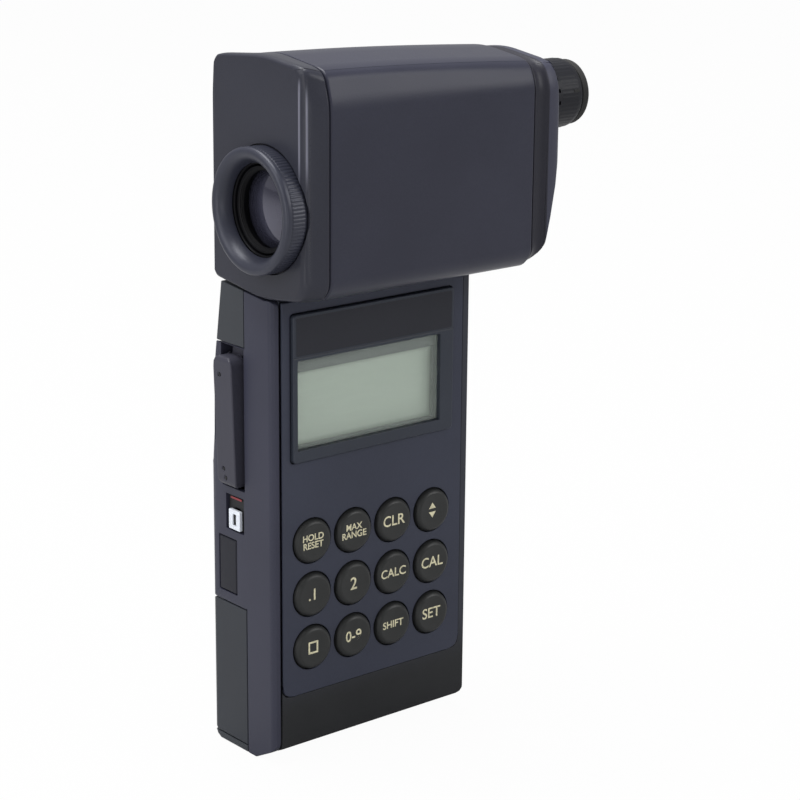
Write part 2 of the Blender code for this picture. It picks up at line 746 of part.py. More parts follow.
def display_bezel():
    # raised dark frame: a name area above and the window opening below
    front = PANEL_FRONT - BEZEL_PROUD
    work = block(BEZEL_LEFT, BEZEL_RIGHT, front, SEAT - GAP, BEZEL_FOOT, BEZEL_TOP,
                 BEZEL_CORNER, "Y")
    round_edges(work, lambda co: co.y < front + TINY, BEZEL_PROUD / 3, 2)
    bezel = place("display_bezel", work)
    cut(bezel, block(WINDOW_LEFT, WINDOW_RIGHT, front - WALL, SEAM, WINDOW_FOOT, WINDOW_TOP,
                     GAP, "Y"))
    return clad(bezel, BLACK)


def display_window():
    far = SEAT - GAP
    window = place("display_window",
                   block(WINDOW_LEFT + GAP, WINDOW_RIGHT - GAP, far - WINDOW_THICK, far,
                         WINDOW_FOOT + GAP, WINDOW_TOP - GAP, GAP, "Y"))
    return clad(window, CLEAR)


def lcd_parts():
    near = COVER_BACK + GAP
    far = near + GLASS_THICK
    glass = place("lcd_glass", block(LIT_LEFT - GLASS_RIM, LIT_RIGHT + GLASS_RIM, near, far,
                                     LIT_FOOT - GLASS_RIM, LIT_TOP + GLASS_RIM))
    clad(glass, LCD)
    holder = place("lcd_holder",
                   block(LIT_LEFT - GLASS_RIM, LIT_RIGHT + GLASS_RIM, far + GAP,
                         BOARD_FRONT - GAP, LIT_FOOT - GLASS_RIM, LIT_TOP + GLASS_RIM))
    cut(holder, block(LIT_LEFT + HOLDER_RIM, LIT_RIGHT - HOLDER_RIM, FRONT, BACK,
                      LIT_FOOT + HOLDER_RIM, LIT_TOP - HOLDER_RIM))
    clad(holder, BLACK)


def main_board():
    board = place("main_board", block(-BOARD_WIDTH / 2, BOARD_WIDTH / 2, BOARD_FRONT,
                                      BOARD_BACK, BOARD_FOOT, BOARD_TOP, BEZEL_CORNER, "Y"))
    for x, z in case_screw_places():
        if z < BOARD_TOP:
            cut(board, rod(BOSS / 2 + GAP, "Y", x, z, FRONT, BACK))
    for x, z in board_screw_places():
        cut(board, rod(BOARD_SCREW_SHANK / 2 + PIN_PLAY, "Y", x, z, FRONT, BACK))
    return clad(board, BOARD)


def board_screws():
    for index, (x, z) in enumerate(board_screw_places()):
        seat = BOARD_BACK + GAP
        head = seat + BOARD_SCREW_HEAD_THICK
        profile = [(0, BOARD_FRONT - BOARD_SCREW_GRIP),
                   (BOARD_SCREW_SHANK / 2, BOARD_FRONT - BOARD_SCREW_GRIP),
                   (BOARD_SCREW_SHANK / 2, seat), (BOARD_SCREW_HEAD / 2, seat),
                   (BOARD_SCREW_HEAD / 2, head), (0, head)]
        screw = place(f"board_screw_{index + 1}", turned(profile, "Y", x, z, KEY_SEGMENTS))
        clad(screw, STEEL)


def back_at(z):
    # depth of the grip's back at a height, straight above and below the swell
    if z >= SWELL_TOP:
        return TOP_BACK
    if z <= SWELL_FOOT:
        return BACK
    share = (SWELL_TOP - z) / (SWELL_TOP - SWELL_FOOT)
    return TOP_BACK + (BACK - TOP_BACK) * share


def rear_case():
    # rear half of the grip with its swell, battery box, slot and pockets
    top = head_floor(TOP_BACK) - GAP
    outline = [(REAR_SLACK, 0), (BACK - BASE_HEEL, 0), (BACK, WALL - GAP), (BACK, SWELL_FOOT),
               (TOP_BACK, SWELL_TOP),
               (TOP_BACK, top), (REAR_SLACK, head_floor(REAR_SLACK) - GAP)]
    work = prism(outline, "X", LEFT, RIGHT)
    round_edges(work, lambda co: co.y > back_at(co.z) - TINY and abs(co.x) > RIGHT - TINY,
                GRIP_CORNER, 3)
    case = place("rear_case", work)
    wall = RIGHT - WALL
    ceiling = HEAD_FLOOR - GAP - WALL
    inner = [(SEAM - WALL, BATTERY_TOP + BOX_RIM), (BACK - WALL, BATTERY_TOP + BOX_RIM),
             (BACK - WALL, SWELL_FOOT), (TOP_BACK - WALL, SWELL_TOP),
             (TOP_BACK - WALL, ceiling), (SEAM - WALL, ceiling)]
    cut(case, prism(inner, "X", -wall, wall))
    cut(case, block(LEFT - WALL, RIGHT + WALL, SEAM - WALL, BACK + WALL, WALL, BATTERY_TOP))
    battery_box(case)
    cut(case, block(LEFT - WALL, -wall + WALL, SEAM - WALL,
                    TRIGGER_NEAR + TRIGGER_WIDTH + SLOT_PLAY, SLOT_FOOT, SLOT_TOP))
    for near in ear_places():
        ear = [(LEFT + WALL / 2, SLOT_FOOT - EAR_ROOT), (LEFT + EAR_REACH, SLOT_FOOT - EAR_ROOT),
               (LEFT + EAR_REACH, EAR_TOP), (LEFT + WALL + GAP, EAR_TOP),
               (LEFT + WALL + GAP, SLOT_FOOT - GAP), (LEFT + WALL / 2, SLOT_FOOT - GAP)]
        join(case, prism(ear, "Y", near, near + EAR_THICK))
    cut(case, rod(PIN / 2 + PIN_PLAY, "Y", LEFT + PIVOT_INSET, PIVOT_HEIGHT,
                  SEAM - WALL, ear_places()[1] + EAR_THICK + GAP, KEY_SEGMENTS))
    cut(case, block(LEFT - WALL, -wall + GAP, SWITCH_NEAR, SWITCH_NEAR + SWITCH_WIDTH,
                    SWITCH_FOOT, SWITCH_FOOT + SWITCH_HEIGHT))
    low, high = JACK_FOOT, JACK_FOOT + JACK_HEIGHT
    cut(case,
        block(LEFT - WALL, LEFT + JACK_SEAT_DEPTH, JACK_NEAR, JACK_NEAR + JACK_WIDTH, low, high),
        block(LEFT, -wall + GAP, JACK_NEAR + JACK_LIP, JACK_NEAR + JACK_WIDTH - JACK_LIP,
              low + JACK_LIP, high - JACK_LIP))
    for x, z in case_screw_places():
        join(case, rod(BOSS / 2, "Y", x, z, REAR_SLACK, back_at(z) - WALL / 2))
        cut(case,
            rod(CASE_SCREW_SHANK / 2 + PIN_PLAY, "Y", x, z, FRONT, BACK + WALL),
            rod(CASE_SCREW_HEAD / 2 + GAP, "Y", x, z, screw_seat(z), BACK + WALL))
    join(case, rod(NECK_BOSS / 2, "Z", BOLT_X, BOLT_Y,
                   ceiling - NECK_BOSS_LENGTH, ceiling + WALL / 2))
    cut(case, rod(BOLT_SHANK / 2 + GAP, "Z", BOLT_X, BOLT_Y,
                  ceiling - BOLT_BITE, HEAD_TOP))
    return clad(case, GREY)


def battery_box(case):
    # inner box for the cells, open to the back, tied to the floor and the shell
    wall = RIGHT - WALL - GAP
    far = BACK - WALL - GAP
    ceiling = BATTERY_TOP + BOX_RIM / 2
    join(case,
         block(-wall, wall, REAR_SLACK + GAP, far, WALL / 2, ceiling),
         block(GAP - wall, wall - GAP, BOX_FRONT, REAR_SLACK + WALL, WALL + GAP,
               ceiling - GAP))
    cut(case, block(-wall + BOX_WALL, wall - BOX_WALL, BOX_FRONT + BOX_WALL, BACK,
                    WALL + BOX_WALL, BATTERY_TOP - BOX_WALL))


def screw_seat(z):
    # the plane on which a case screw's head sits
    return back_at(z) - CASE_SCREW_SUNK - CASE_SCREW_HEAD_THICK - GAP


def ear_places():
    # near faces of the two ears that carry the trigger's pin
    middle = TRIGGER_NEAR + TRIGGER_WIDTH / 2
    reach = RIB_WIDTH / 2 + GAP
    return [middle - reach - EAR_THICK, middle + reach]


def case_screws():
    for index, (x, z) in enumerate(case_screw_places()):
        seat = screw_seat(z) + GAP
        crown = seat + CASE_SCREW_HEAD_THICK
        tip = FRONT_SLACK - CASE_SCREW_BITE
        profile = [(0, tip), (CASE_SCREW_SHANK / 2, tip), (CASE_SCREW_SHANK / 2, seat),
                   (CASE_SCREW_HEAD / 2, seat), (CASE_SCREW_HEAD / 2, crown - GAP),
                   (CASE_SCREW_HEAD / 2 - GAP, crown), (0, crown)]
        screw = place(f"case_screw_{index + 1}", turned(profile, "Y", x, z, SMALL_SEGMENTS))
        half = CASE_SCREW_SLOT / 2
        cut(screw,
            block(x - CASE_SCREW_HEAD, x + CASE_SCREW_HEAD, crown - CASE_SCREW_SLOT_DEPTH,
                  crown + WALL, z - half, z + half))
        clad(screw, STEEL)


def battery_cover():
    # cover over the lower back that wraps on to both sides
    low, high = WALL + GAP, BATTERY_TOP - GAP
    work = block(LEFT, RIGHT, REAR_SLACK, BACK, low, high)
    round_edges(work, lambda co: co.y > BACK - TINY and abs(co.x) > RIGHT - TINY,
                GRIP_CORNER, 3)
    cover = place("battery_cover", work)
    wall = RIGHT - WALL
    cut(cover, block(-wall, wall, SEAM - WALL, BACK - WALL, -WALL, BATTERY_TOP + WALL))
    return clad(cover, GREY, (0, BACK, (low + high) / 2))


def cells_and_contacts():
    # two round cells lying across the grip, with their end contacts
    y = (BOX_FRONT + BOX_WALL + BACK - WALL) / 2
    middle = (WALL + BATTERY_TOP) / 2
    start = -CELL_LENGTH / 2
    end = CELL_LENGTH / 2
    for index, side in enumerate((1, -1)):
        z = middle - side * CELL_STEP / 2
        profile = [(0, side * start), (CELL_WIDTH / 2 - CELL_BASE, side * start),
                   (CELL_WIDTH / 2, side * (start + CELL_BASE)), (CELL_WIDTH / 2, side * end),
                   (CELL_NUB / 2, side * end), (CELL_NUB / 2, side * (end + CELL_NUB_LENGTH)),
                   (0, side * (end + CELL_NUB_LENGTH))]
        cell = place(f"cell_{index + 1}", turned(profile, "X", y, z, SMALL_SEGMENTS))
        clad(cell, CELL)
    face = CELL_ROOM - GAP - CONTACT_THICK

    def plate(name, side, low, high):
        outer = side * (CELL_ROOM - GAP)
        piece = place(name, block(*sorted((outer, side * face)), y - CONTACT_WIDTH / 2,
                                  y + CONTACT_WIDTH / 2, low, high, GAP, "X"))
        return piece

    def bump(piece, side, z, reach):
        tip = side * (end + reach)
        join(piece, turned([(0, side * (face + CONTACT_THICK / 2)),
                            (SPRING_FOOT / 2, side * (face + CONTACT_THICK / 2)),
                            (SPRING_TIP / 2, tip), (0, tip)], "X", y, z, KEY_SEGMENTS))

    top = middle + CELL_STEP / 2
    foot = middle - CELL_STEP / 2
    half = CONTACT_HEIGHT / 2
    link = plate("contact_link", -1, foot - half, top + half)
    bump(link, -1, foot, GAP)
    bump(link, -1, top, GAP + CELL_NUB_LENGTH)
    plus = plate("contact_plus", 1, foot - half, foot + half)
    bump(plus, 1, foot, GAP + CELL_NUB_LENGTH)
    minus = plate("contact_minus", 1, top - half, top + half)
    bump(minus, 1, top, GAP)
    for piece in (link, plus, minus):
        clad(piece, NICKEL)


def trigger():
    # lever on the left of the grip, hinged near its foot, with a hook at its top
    wall = LEFT + WALL
    pivot = (LEFT + PIVOT_INSET, TRIGGER_NEAR + TRIGGER_WIDTH / 2, PIVOT_HEIGHT)
    outer_top = LEFT - TRIGGER_PROUD
    outer_foot = LEFT - TRIGGER_PROUD_FOOT
    back = LEFT + TRIGGER_BACK
    side = fillet([(outer_foot, TRIGGER_FOOT), (back, TRIGGER_FOOT), (back, TRIGGER_TOP),
                   (outer_top, TRIGGER_TOP)],
                  [TRIGGER_FOOT_TAPER, 0, 0, TRIGGER_PROUD / 2], CORNER_SEGMENTS + 1)
    work = prism(side, "Y", TRIGGER_NEAR, TRIGGER_NEAR + TRIGGER_WIDTH)
    lever = place("trigger_lever", work)
    far = TRIGGER_NEAR + TRIGGER_WIDTH
    outline = fillet([(TRIGGER_NEAR, TRIGGER_FOOT), (far, TRIGGER_FOOT), (far, TRIGGER_TOP),
                      (TRIGGER_NEAR, TRIGGER_TOP)],
                     [TRIGGER_FOOT_TAPER, TRIGGER_FOOT_TAPER, TRIGGER_ROUND, TRIGGER_ROUND],
                     CORNER_SEGMENTS + 1)
    shape = prism(outline, "X", LEFT - TRIGGER_PROUD - WALL, back + WALL)
    combine(lever, shape, "INTERSECT")
    near = pivot[1] - RIB_WIDTH / 2
    rib = LEFT + RIB_REACH
    low = PIVOT_HEIGHT
    hook = SLOT_TOP + HOOK_HEIGHT
    join(lever,
         block(back - RIB_OVERLAP, rib, near, near + RIB_WIDTH, low, TRIGGER_TOP - GAP),
         block(wall + GAP, wall + GAP + HOOK_THICK, near, near + RIB_WIDTH,
               TRIGGER_TOP - HOOK_HEIGHT * 2, hook),
         rod(HUB / 2, "Y", pivot[0], pivot[2], near, near + RIB_WIDTH))
    cut(lever, rod(PIN / 2 + PIN_PLAY, "Y", pivot[0], pivot[2], FRONT, BACK, KEY_SEGMENTS))
    clad(lever, GREY, pivot)
    ears = ear_places()
    pin = place("trigger_pin", rod(PIN / 2, "Y", pivot[0], pivot[2], ears[0] - PIN_PROUD,
                                   ears[1] + EAR_THICK + PIN_PROUD, KEY_SEGMENTS))
    clad(pin, STEEL)
    start = rib + MICRO_PLUNGER_GAP + MICRO_PLUNGER_REACH
    rear = back_at(MICRO_TOP) - WALL - GAP
    switch = place("trigger_switch", block(start, start + MICRO_LENGTH, rear - MICRO_WIDTH, rear,
                                           MICRO_TOP - MICRO_HEIGHT, MICRO_TOP))
    join(switch, rod(MICRO_PLUNGER / 2, "X", rear - MICRO_WIDTH / 2,
                     MICRO_TOP - MICRO_HEIGHT / 2, start - MICRO_PLUNGER_REACH,
                     start + MICRO_PLUNGER_REACH, KEY_SEGMENTS))
    clad(switch, BLACK)


def power_switch():
    wall = LEFT + WALL
    face = LEFT + TRAY_SUNK
    near, far = SWITCH_NEAR + GAP, SWITCH_NEAR + SWITCH_WIDTH - GAP
    low, high = SWITCH_FOOT + GAP, SWITCH_FOOT + SWITCH_HEIGHT - GAP
    tray = place("switch_tray", block(face, wall + GAP * 2, near, far, low, high))
    join(tray, block(wall + GAP, wall + GAP + TRAY_FLANGE_THICK, near - GAP, far + TRAY_FLANGE,
                     low - TRAY_FLANGE, high))
    y = (near + far) / 2
    knob_low = low + GAP
    knob_back = face - GAP
    stem_low = knob_low + (KNOB_HEIGHT - KNOB_STEM_HEIGHT) / 2
    cut(tray, block(LEFT, BACK, y - KNOB_STEM_WIDTH / 2 - GAP, y + KNOB_STEM_WIDTH / 2 + GAP,
                    stem_low - GAP, stem_low + KNOB_STEM_HEIGHT + KNOB_STROKE + GAP))
    clad(tray, BLACK)
    front = knob_back - KNOB_THICK
    centre = knob_low + KNOB_HEIGHT / 2
    knob = place("switch_knob", block(front, knob_back, y - KNOB_WIDTH / 2, y + KNOB_WIDTH / 2,
                                      knob_low, knob_low + KNOB_HEIGHT, GAP, "X"))
    join(knob, block(knob_back - GAP, knob_back + KNOB_STEM_REACH, y - KNOB_STEM_WIDTH / 2,
                     y + KNOB_STEM_WIDTH / 2, stem_low, stem_low + KNOB_STEM_HEIGHT))
    cut(knob, block(front - WALL, front + KNOB_GROOVE_DEPTH, y - KNOB_GROOVE_WIDTH / 2,
                    y + KNOB_GROOVE_WIDTH / 2, centre - KNOB_GROOVE_HEIGHT / 2,
                    centre + KNOB_GROOVE_HEIGHT / 2))
    clad(knob, WHITE, (front, y, centre))
    mark = place("switch_mark", block(face - GAP - MARK_THICK, face - GAP, y - KNOB_WIDTH / 2,
                                      y + KNOB_WIDTH / 2, high - GAP - MARK_HEIGHT, high - GAP))
    clad(mark, RED)


def jack_parts():
    low, high = JACK_FOOT + GAP, JACK_FOOT + JACK_HEIGHT - GAP
    near, far = JACK_NEAR + GAP, JACK_NEAR + JACK_WIDTH - GAP
    floor = LEFT + JACK_SEAT_DEPTH - GAP
    middle = ((near + far) / 2, (low + high) / 2)
    cover = place("jack_cover", block(LEFT, floor, near, far, low, high))
    inset = JACK_LIP + JACK_PLUG_PLAY - GAP
    join(cover, block(floor - GAP, LEFT + WALL, near + inset, far - inset, low + inset,
                      high - inset))
    clad(cover, GREY, (LEFT, *middle))
    start = LEFT + WALL + GAP
    jack = place("output_jack", block(start, start + JACK_BODY_LENGTH,
                                      middle[0] - JACK_BODY_WIDTH / 2,
                                      middle[0] + JACK_BODY_WIDTH / 2,
                                      middle[1] - JACK_BODY_HEIGHT / 2,
                                      middle[1] + JACK_BODY_HEIGHT / 2))
    cut(jack, rod(JACK_BORE / 2, "X", *middle, start - WALL, start + JACK_BORE_DEPTH,
                  KEY_SEGMENTS))
    clad(jack, BLACK)


def neck():
    floor = HEAD_FLOOR + FLOOR_THICK + GAP
    length, width = NECK_PLATE_LENGTH / 2, NECK_PLATE_WIDTH / 2
    plate = place("neck_plate", block(BOLT_X - length, BOLT_X + length, BOLT_Y - width,
                                      BOLT_Y + width, floor, floor + NECK_PLATE_THICK, GAP * 2))
    cut(plate, rod(BOLT_SHANK / 2 + GAP, "Z", BOLT_X, BOLT_Y, 0, HEAD_TOP))
    clad(plate, STEEL)
    seat = floor + NECK_PLATE_THICK + GAP
    crown = seat + BOLT_HEAD_THICK
    tip = HEAD_FLOOR - WALL - BOLT_BITE
    profile = [(0, tip), (BOLT_SHANK / 2, tip), (BOLT_SHANK / 2, seat), (BOLT_HEAD / 2, seat),
               (BOLT_HEAD / 2, crown), (BOLT_SOCKET / 2, crown),
               (BOLT_SOCKET / 2, crown - BOLT_SOCKET_DEPTH), (0, crown - BOLT_SOCKET_DEPTH)]
    bolt = place("neck_bolt", turned(profile, "Z", BOLT_X, BOLT_Y, SMALL_SEGMENTS))
    clad(bolt, STEEL)


def head_front():
    # front moulding of the head: a flat plate whose sides widen to the parting line
    stations = [(HEAD_LEFT, head_outline(PLATE_WIDTH - PLATE_ROUND * 2, HEAD_TOP - PLATE_ROUND,
                                         HEAD_ROUND)),
                (HEAD_LEFT + PLATE_ROUND, head_outline(PLATE_WIDTH, HEAD_TOP, HEAD_ROUND)),
                (BODY_LEFT - GAP / 2, head_outline(HEAD_WIDTH, HEAD_TOP, HEAD_ROUND))]
    front = place("head_front", loft(stations))
    hollow(front, HEAD_LEFT + PLATE_THICK, BODY_LEFT + HEAD_WALL, HEAD_TOP)
    ring = RING_WIDTH / 2 + GAP
    cut(front,
        rod(ring, "X", LENS_Y, LENS_Z, HEAD_LEFT - WALL, HEAD_LEFT + RING_SUNK + GAP, SEGMENTS),
        rod(BARREL_WIDTH / 2 + GAP, "X", LENS_Y, LENS_Z, HEAD_LEFT - WALL, BODY_LEFT, SEGMENTS))
    return clad(front, NAVY)


def inner_outline(half, ceiling, shoulder):
    # cross-section of the room inside the head, with its corners drawn in
    floor = HEAD_FLOOR + FLOOR_THICK
    foot = half - HEAD_WALL
    crown = half - shoulder
    low, high = floor + HEAD_WALL, ceiling - shoulder * 2
    return [(HEAD_CENTRE + u, z) for u, z in
            ((-foot, floor), (foot, floor), (half, low), (half, high),
             (crown, ceiling), (-crown, ceiling), (-half, high), (-half, low))]


def hollow(shell, start, end, top):
    # clears the inside of a part of the head between two places along it
    outline = inner_outline(HEAD_WIDTH / 2 - HEAD_WALL, top - EDGE_DROP - HEAD_WALL,
                            CHAMFER_WIDTH + HEAD_WALL)
    return cut(shell, prism(outline, "X", start, end))


def head_body():
    # long middle shell of the head, whose crown falls towards the eyepiece
    start, end = BODY_LEFT + GAP / 2, BODY_RIGHT - GAP / 2
    stations = []
    for share, fall in BODY_FALL_SHARES:
        along = start + (end - start) * share
        stations.append((along, head_outline(HEAD_WIDTH, HEAD_TOP - TOP_FALL * fall, HEAD_ROUND,
                                             TOP_FALL * fall)))
    body = place("head_body", loft(stations))
    hollow(body, start - WALL, end + WALL, HEAD_TOP - TOP_FALL)
    cut(body, rod(BOLT_SHANK / 2 + GAP, "Z", BOLT_X, BOLT_Y, HEAD_FLOOR - WALL,
                  HEAD_FLOOR + FLOOR_THICK * 2))
    return clad(body, NAVY)


def rear_cap():
    # rear moulding: a narrow waist, then a rim, with the lower back drawn forward
    start = BODY_RIGHT + GAP / 2
    waist = start + WAIST_LENGTH
    slim = HEAD_WIDTH - WAIST_DEPTH * 2
    top = HEAD_TOP - TOP_FALL
    end = HEAD_TOP - REAR_FALL
    stations = [(start, head_outline(HEAD_WIDTH, top, HEAD_ROUND, TOP_FALL)),
                (start + WAIST_DEPTH, head_outline(slim, top - WAIST_DEPTH, HEAD_ROUND, TOP_FALL)),
                (waist - WAIST_DEPTH, head_outline(slim, top - WAIST_DEPTH * 2, HEAD_ROUND,
                                                   TOP_FALL)),
                (waist, head_outline(HEAD_WIDTH, top - WAIST_DEPTH, HEAD_ROUND, TOP_FALL)),
                (REAR - PLATE_ROUND, head_outline(HEAD_WIDTH - PLATE_ROUND, end + PLATE_ROUND,
                                                  HEAD_ROUND, TOP_FALL)),
                (REAR, head_outline(HEAD_WIDTH - PLATE_ROUND * 3, end, HEAD_ROUND, TOP_FALL))]
    cap = place("rear_cap", loft(stations))
    wide = HEAD_WIDTH
    near, far = HEAD_CENTRE - wide, HEAD_CENTRE + wide
    knee = HEAD_FLOOR + KNEE_HEIGHT
    heel = HEAD_FLOOR + HEEL_HEIGHT
    slant = REAR - REAR_SLANT
    cut(cap, prism([(REAR + WALL, knee), (REAR, knee), (slant, heel),
                    (slant - HEEL_WIDTH, HEAD_FLOOR + FLOOR_RISE / 2),
                    (slant - HEEL_WIDTH, HEAD_FLOOR - WALL), (REAR + WALL, HEAD_FLOOR - WALL)],
                   "Y", near, far))
    half = HEAD_WIDTH / 2 - WAIST_DEPTH - HEAD_WALL
    floor = HEAD_FLOOR + FLOOR_THICK
    ceiling = end - CROWN_DROP - HEAD_WALL
    inner = [(start - WALL, floor - WALL), (slant - HEEL_WIDTH - HEAD_WALL / 2, floor - WALL),
             (slant - HEAD_WALL, heel + HEAD_WALL), (REAR - HEAD_WALL, knee),
             (REAR - HEAD_WALL, ceiling + WALL), (start - WALL, ceiling + WALL)]
    room = place("room", prism(inner, "Y", near, far))
    outline = inner_outline(half, ceiling, CHAMFER_WIDTH + HEAD_WALL)
    combine(room, prism(outline, "X", start - WALL * 2, REAR), "INTERSECT")
    cut(cap, taken(room))
    cut(cap, rod(EYE_TUBE / 2 + GAP, "X", LENS_Y, EYE_Z, BODY_RIGHT, REAR + WALL, SEGMENTS))
    return clad(cap, NAVY_DARK)


def toothed(height, depth, count, stations, bore):
    # a ring with teeth round a line at a height: stations are (along, radius, tooth share)
    work = bmesh.new()
    steps = count * 2
    rings = []
    for along, radius, share in stations:
        ring = []
        for index in range(steps):
            reach = radius - depth * share * (index % 2)
            angle = 2 * math.pi * index / steps
            ring.append(work.verts.new((along, LENS_Y + reach * math.cos(angle),
                                        height + reach * math.sin(angle))))
        rings.append(ring)
    for along, radius in bore:
        ring = []
        for index in range(steps):
            angle = 2 * math.pi * index / steps
            ring.append(work.verts.new((along, LENS_Y + radius * math.cos(angle),
                                        height + radius * math.sin(angle))))
        rings.append(ring)
    for ring, other in zip(rings, rings[1:] + rings[:1]):
        for index in range(steps):
            after = (index + 1) % steps
            work.faces.new((ring[index], ring[after], other[after], other[index]))
    return work


def objective():
    # focus ring, guide barrel, sliding cell and the glass in it
    front = HEAD_LEFT - RING_PROUD
    back = HEAD_LEFT + RING_SUNK
    radius = RING_WIDTH / 2
    outside = [(front, radius - RING_RIM_BEVEL, 0.0), (front + RING_RIM_BEVEL, radius, 0.0),
               (front + RING_RIM, radius, 0.0), (front + RING_RIM + GAP, radius, 1.0),
               (back - RING_RIM_BEVEL, radius, 1.0), (back, radius - RING_TOOTH, 0.0)]
    step = HEAD_LEFT - BARREL_PROUD - GAP
    inside = [(back, BARREL_WIDTH / 2 + GAP), (step, BARREL_WIDTH / 2 + GAP),
              (step, RING_THROAT / 2), (front + RING_RIM_BEVEL, RING_MOUTH / 2),
              (front, RING_MOUTH / 2 + RING_RIM_BEVEL)]
    ring = place("focus_ring", toothed(LENS_Z, RING_TOOTH, RING_TEETH, outside, inside))
    clad(ring, NAVY_DARK, (front, LENS_Y, LENS_Z), 40)
    flange = HEAD_LEFT + PLATE_THICK + GAP
    end = HEAD_LEFT - BARREL_PROUD + BARREL_LENGTH
    profile = [(BARREL_WIDTH / 2, HEAD_LEFT - BARREL_PROUD), (BARREL_WIDTH / 2, flange),
               (BARREL_FLANGE / 2, flange), (BARREL_FLANGE / 2, flange + BARREL_FLANGE_THICK),
               (BARREL_WIDTH / 2, flange + BARREL_FLANGE_THICK), (BARREL_WIDTH / 2, end),
               (BARREL_BORE / 2, end), (BARREL_BORE / 2, HEAD_LEFT - BARREL_PROUD)]
    barrel = place("lens_barrel", turned(profile, "X", LENS_Y, LENS_Z, SEGMENTS, True))
    clad(barrel, BLACK)
    start = HEAD_LEFT - CELL_TUBE_BACK
    rear = start + CELL_TUBE_LENGTH
    lip = start + CELL_TUBE_LIP
    profile = [(CELL_TUBE_WIDTH / 2, start), (CELL_TUBE_WIDTH / 2, rear),
               (CELL_TUBE_BORE / 2, rear), (CELL_TUBE_BORE / 2, lip),
               (CELL_TUBE_LIP_BORE / 2, lip), (CELL_TUBE_LIP_BORE / 2, start)]
    holder = place("lens_cell", turned(profile, "X", LENS_Y, LENS_Z, SEGMENTS, True))
    clad(holder, BLACK, (start, LENS_Y, LENS_Z))
    glass = place("objective_lens", lens(lip + GAP + (LENS_THICK - LENS_EDGE) / 2, LENS_Y, LENS_Z,
                                         CELL_TUBE_BORE / 2 - GAP, LENS_THICK, LENS_EDGE))
    clad(glass, GLASS, (start, LENS_Y, LENS_Z), 40)


def lens(start, y, z, radius, thick, edge):
    # a lens bulged on both faces, its rim between start and start + edge
    bulge = (thick - edge) / 2
    profile = [(0, start - bulge)]
    for share in LENS_SHARES:
        profile.append((radius * share, start - bulge * (1 - share ** 2)))
    profile.append((radius, start))
    profile.append((radius, start + edge))
    for share in reversed(LENS_SHARES):
        profile.append((radius * share, start + edge + bulge * (1 - share ** 2)))
    profile.append((0, start + edge + bulge))
    return turned(profile, "X", y, z, HOLE_SEGMENTS)


def optics():
    # chassis with side cheeks, aperture mirror, sensor and finder prism
    floor = HEAD_FLOOR + FLOOR_THICK + GAP
    near, far = LENS_Y - CHASSIS_WIDTH / 2, LENS_Y + CHASSIS_WIDTH / 2
    left, right = BARREL_END + CHASSIS_LEFT, BARREL_END + CHASSIS_LEFT + CHASSIS_LENGTH
    chassis = place("optics_chassis", block(left, right, near, far, floor, CHASSIS_TOP))
    cut(chassis, block(left - WALL, right + WALL, near + CHASSIS_WALL, far - CHASSIS_WALL,
                       floor + CHASSIS_WALL, CHASSIS_TOP + WALL))
    clad(chassis, ALUMINIUM)
    inner = CHASSIS_WIDTH / 2 - CHASSIS_WALL - GAP
    half = MIRROR_SIZE / 2 / math.sqrt(2)
    skew = MIRROR_THICK / math.sqrt(2)
    x = BARREL_END + MIRROR_X
    outline = [(x - half, LENS_Z - half), (x + half, LENS_Z + half),
               (x + half + skew, LENS_Z + half - skew), (x - half + skew, LENS_Z - half - skew)]
    mirror = place("aperture_mirror", prism(outline, "Y", LENS_Y - inner, LENS_Y + inner))
    cut(mirror, rod(MIRROR_HOLE / 2, "X", LENS_Y, LENS_Z, x - MIRROR_SIZE, x + MIRROR_SIZE,
                    KEY_SEGMENTS))
    clad(mirror, MIRROR)
    start = BARREL_END + SENSOR_X
    end = start + SENSOR_LENGTH
    sensor = place("sensor_unit", rod(SENSOR_WIDTH / 2, "X", LENS_Y, LENS_Z, start, end + GAP))
    join(sensor, block(end, end + SENSOR_BOARD_THICK, LENS_Y - inner, LENS_Y + inner,
                       LENS_Z - SENSOR_BOARD / 2, LENS_Z + SENSOR_BOARD / 2))
    cut(sensor, rod(SENSOR_BORE / 2, "X", LENS_Y, LENS_Z, start - WALL,
                    start + SENSOR_BORE_DEPTH))
    clad(sensor, BOARD)
    half = PRISM_SIZE / 2
    outline = [(x - half, EYE_Z - half), (x + half, EYE_Z - half), (x + half, EYE_Z + half)]
    prism_block = place("finder_prism", prism(outline, "Y", LENS_Y - inner, LENS_Y + inner))
    clad(prism_block, GLASS)


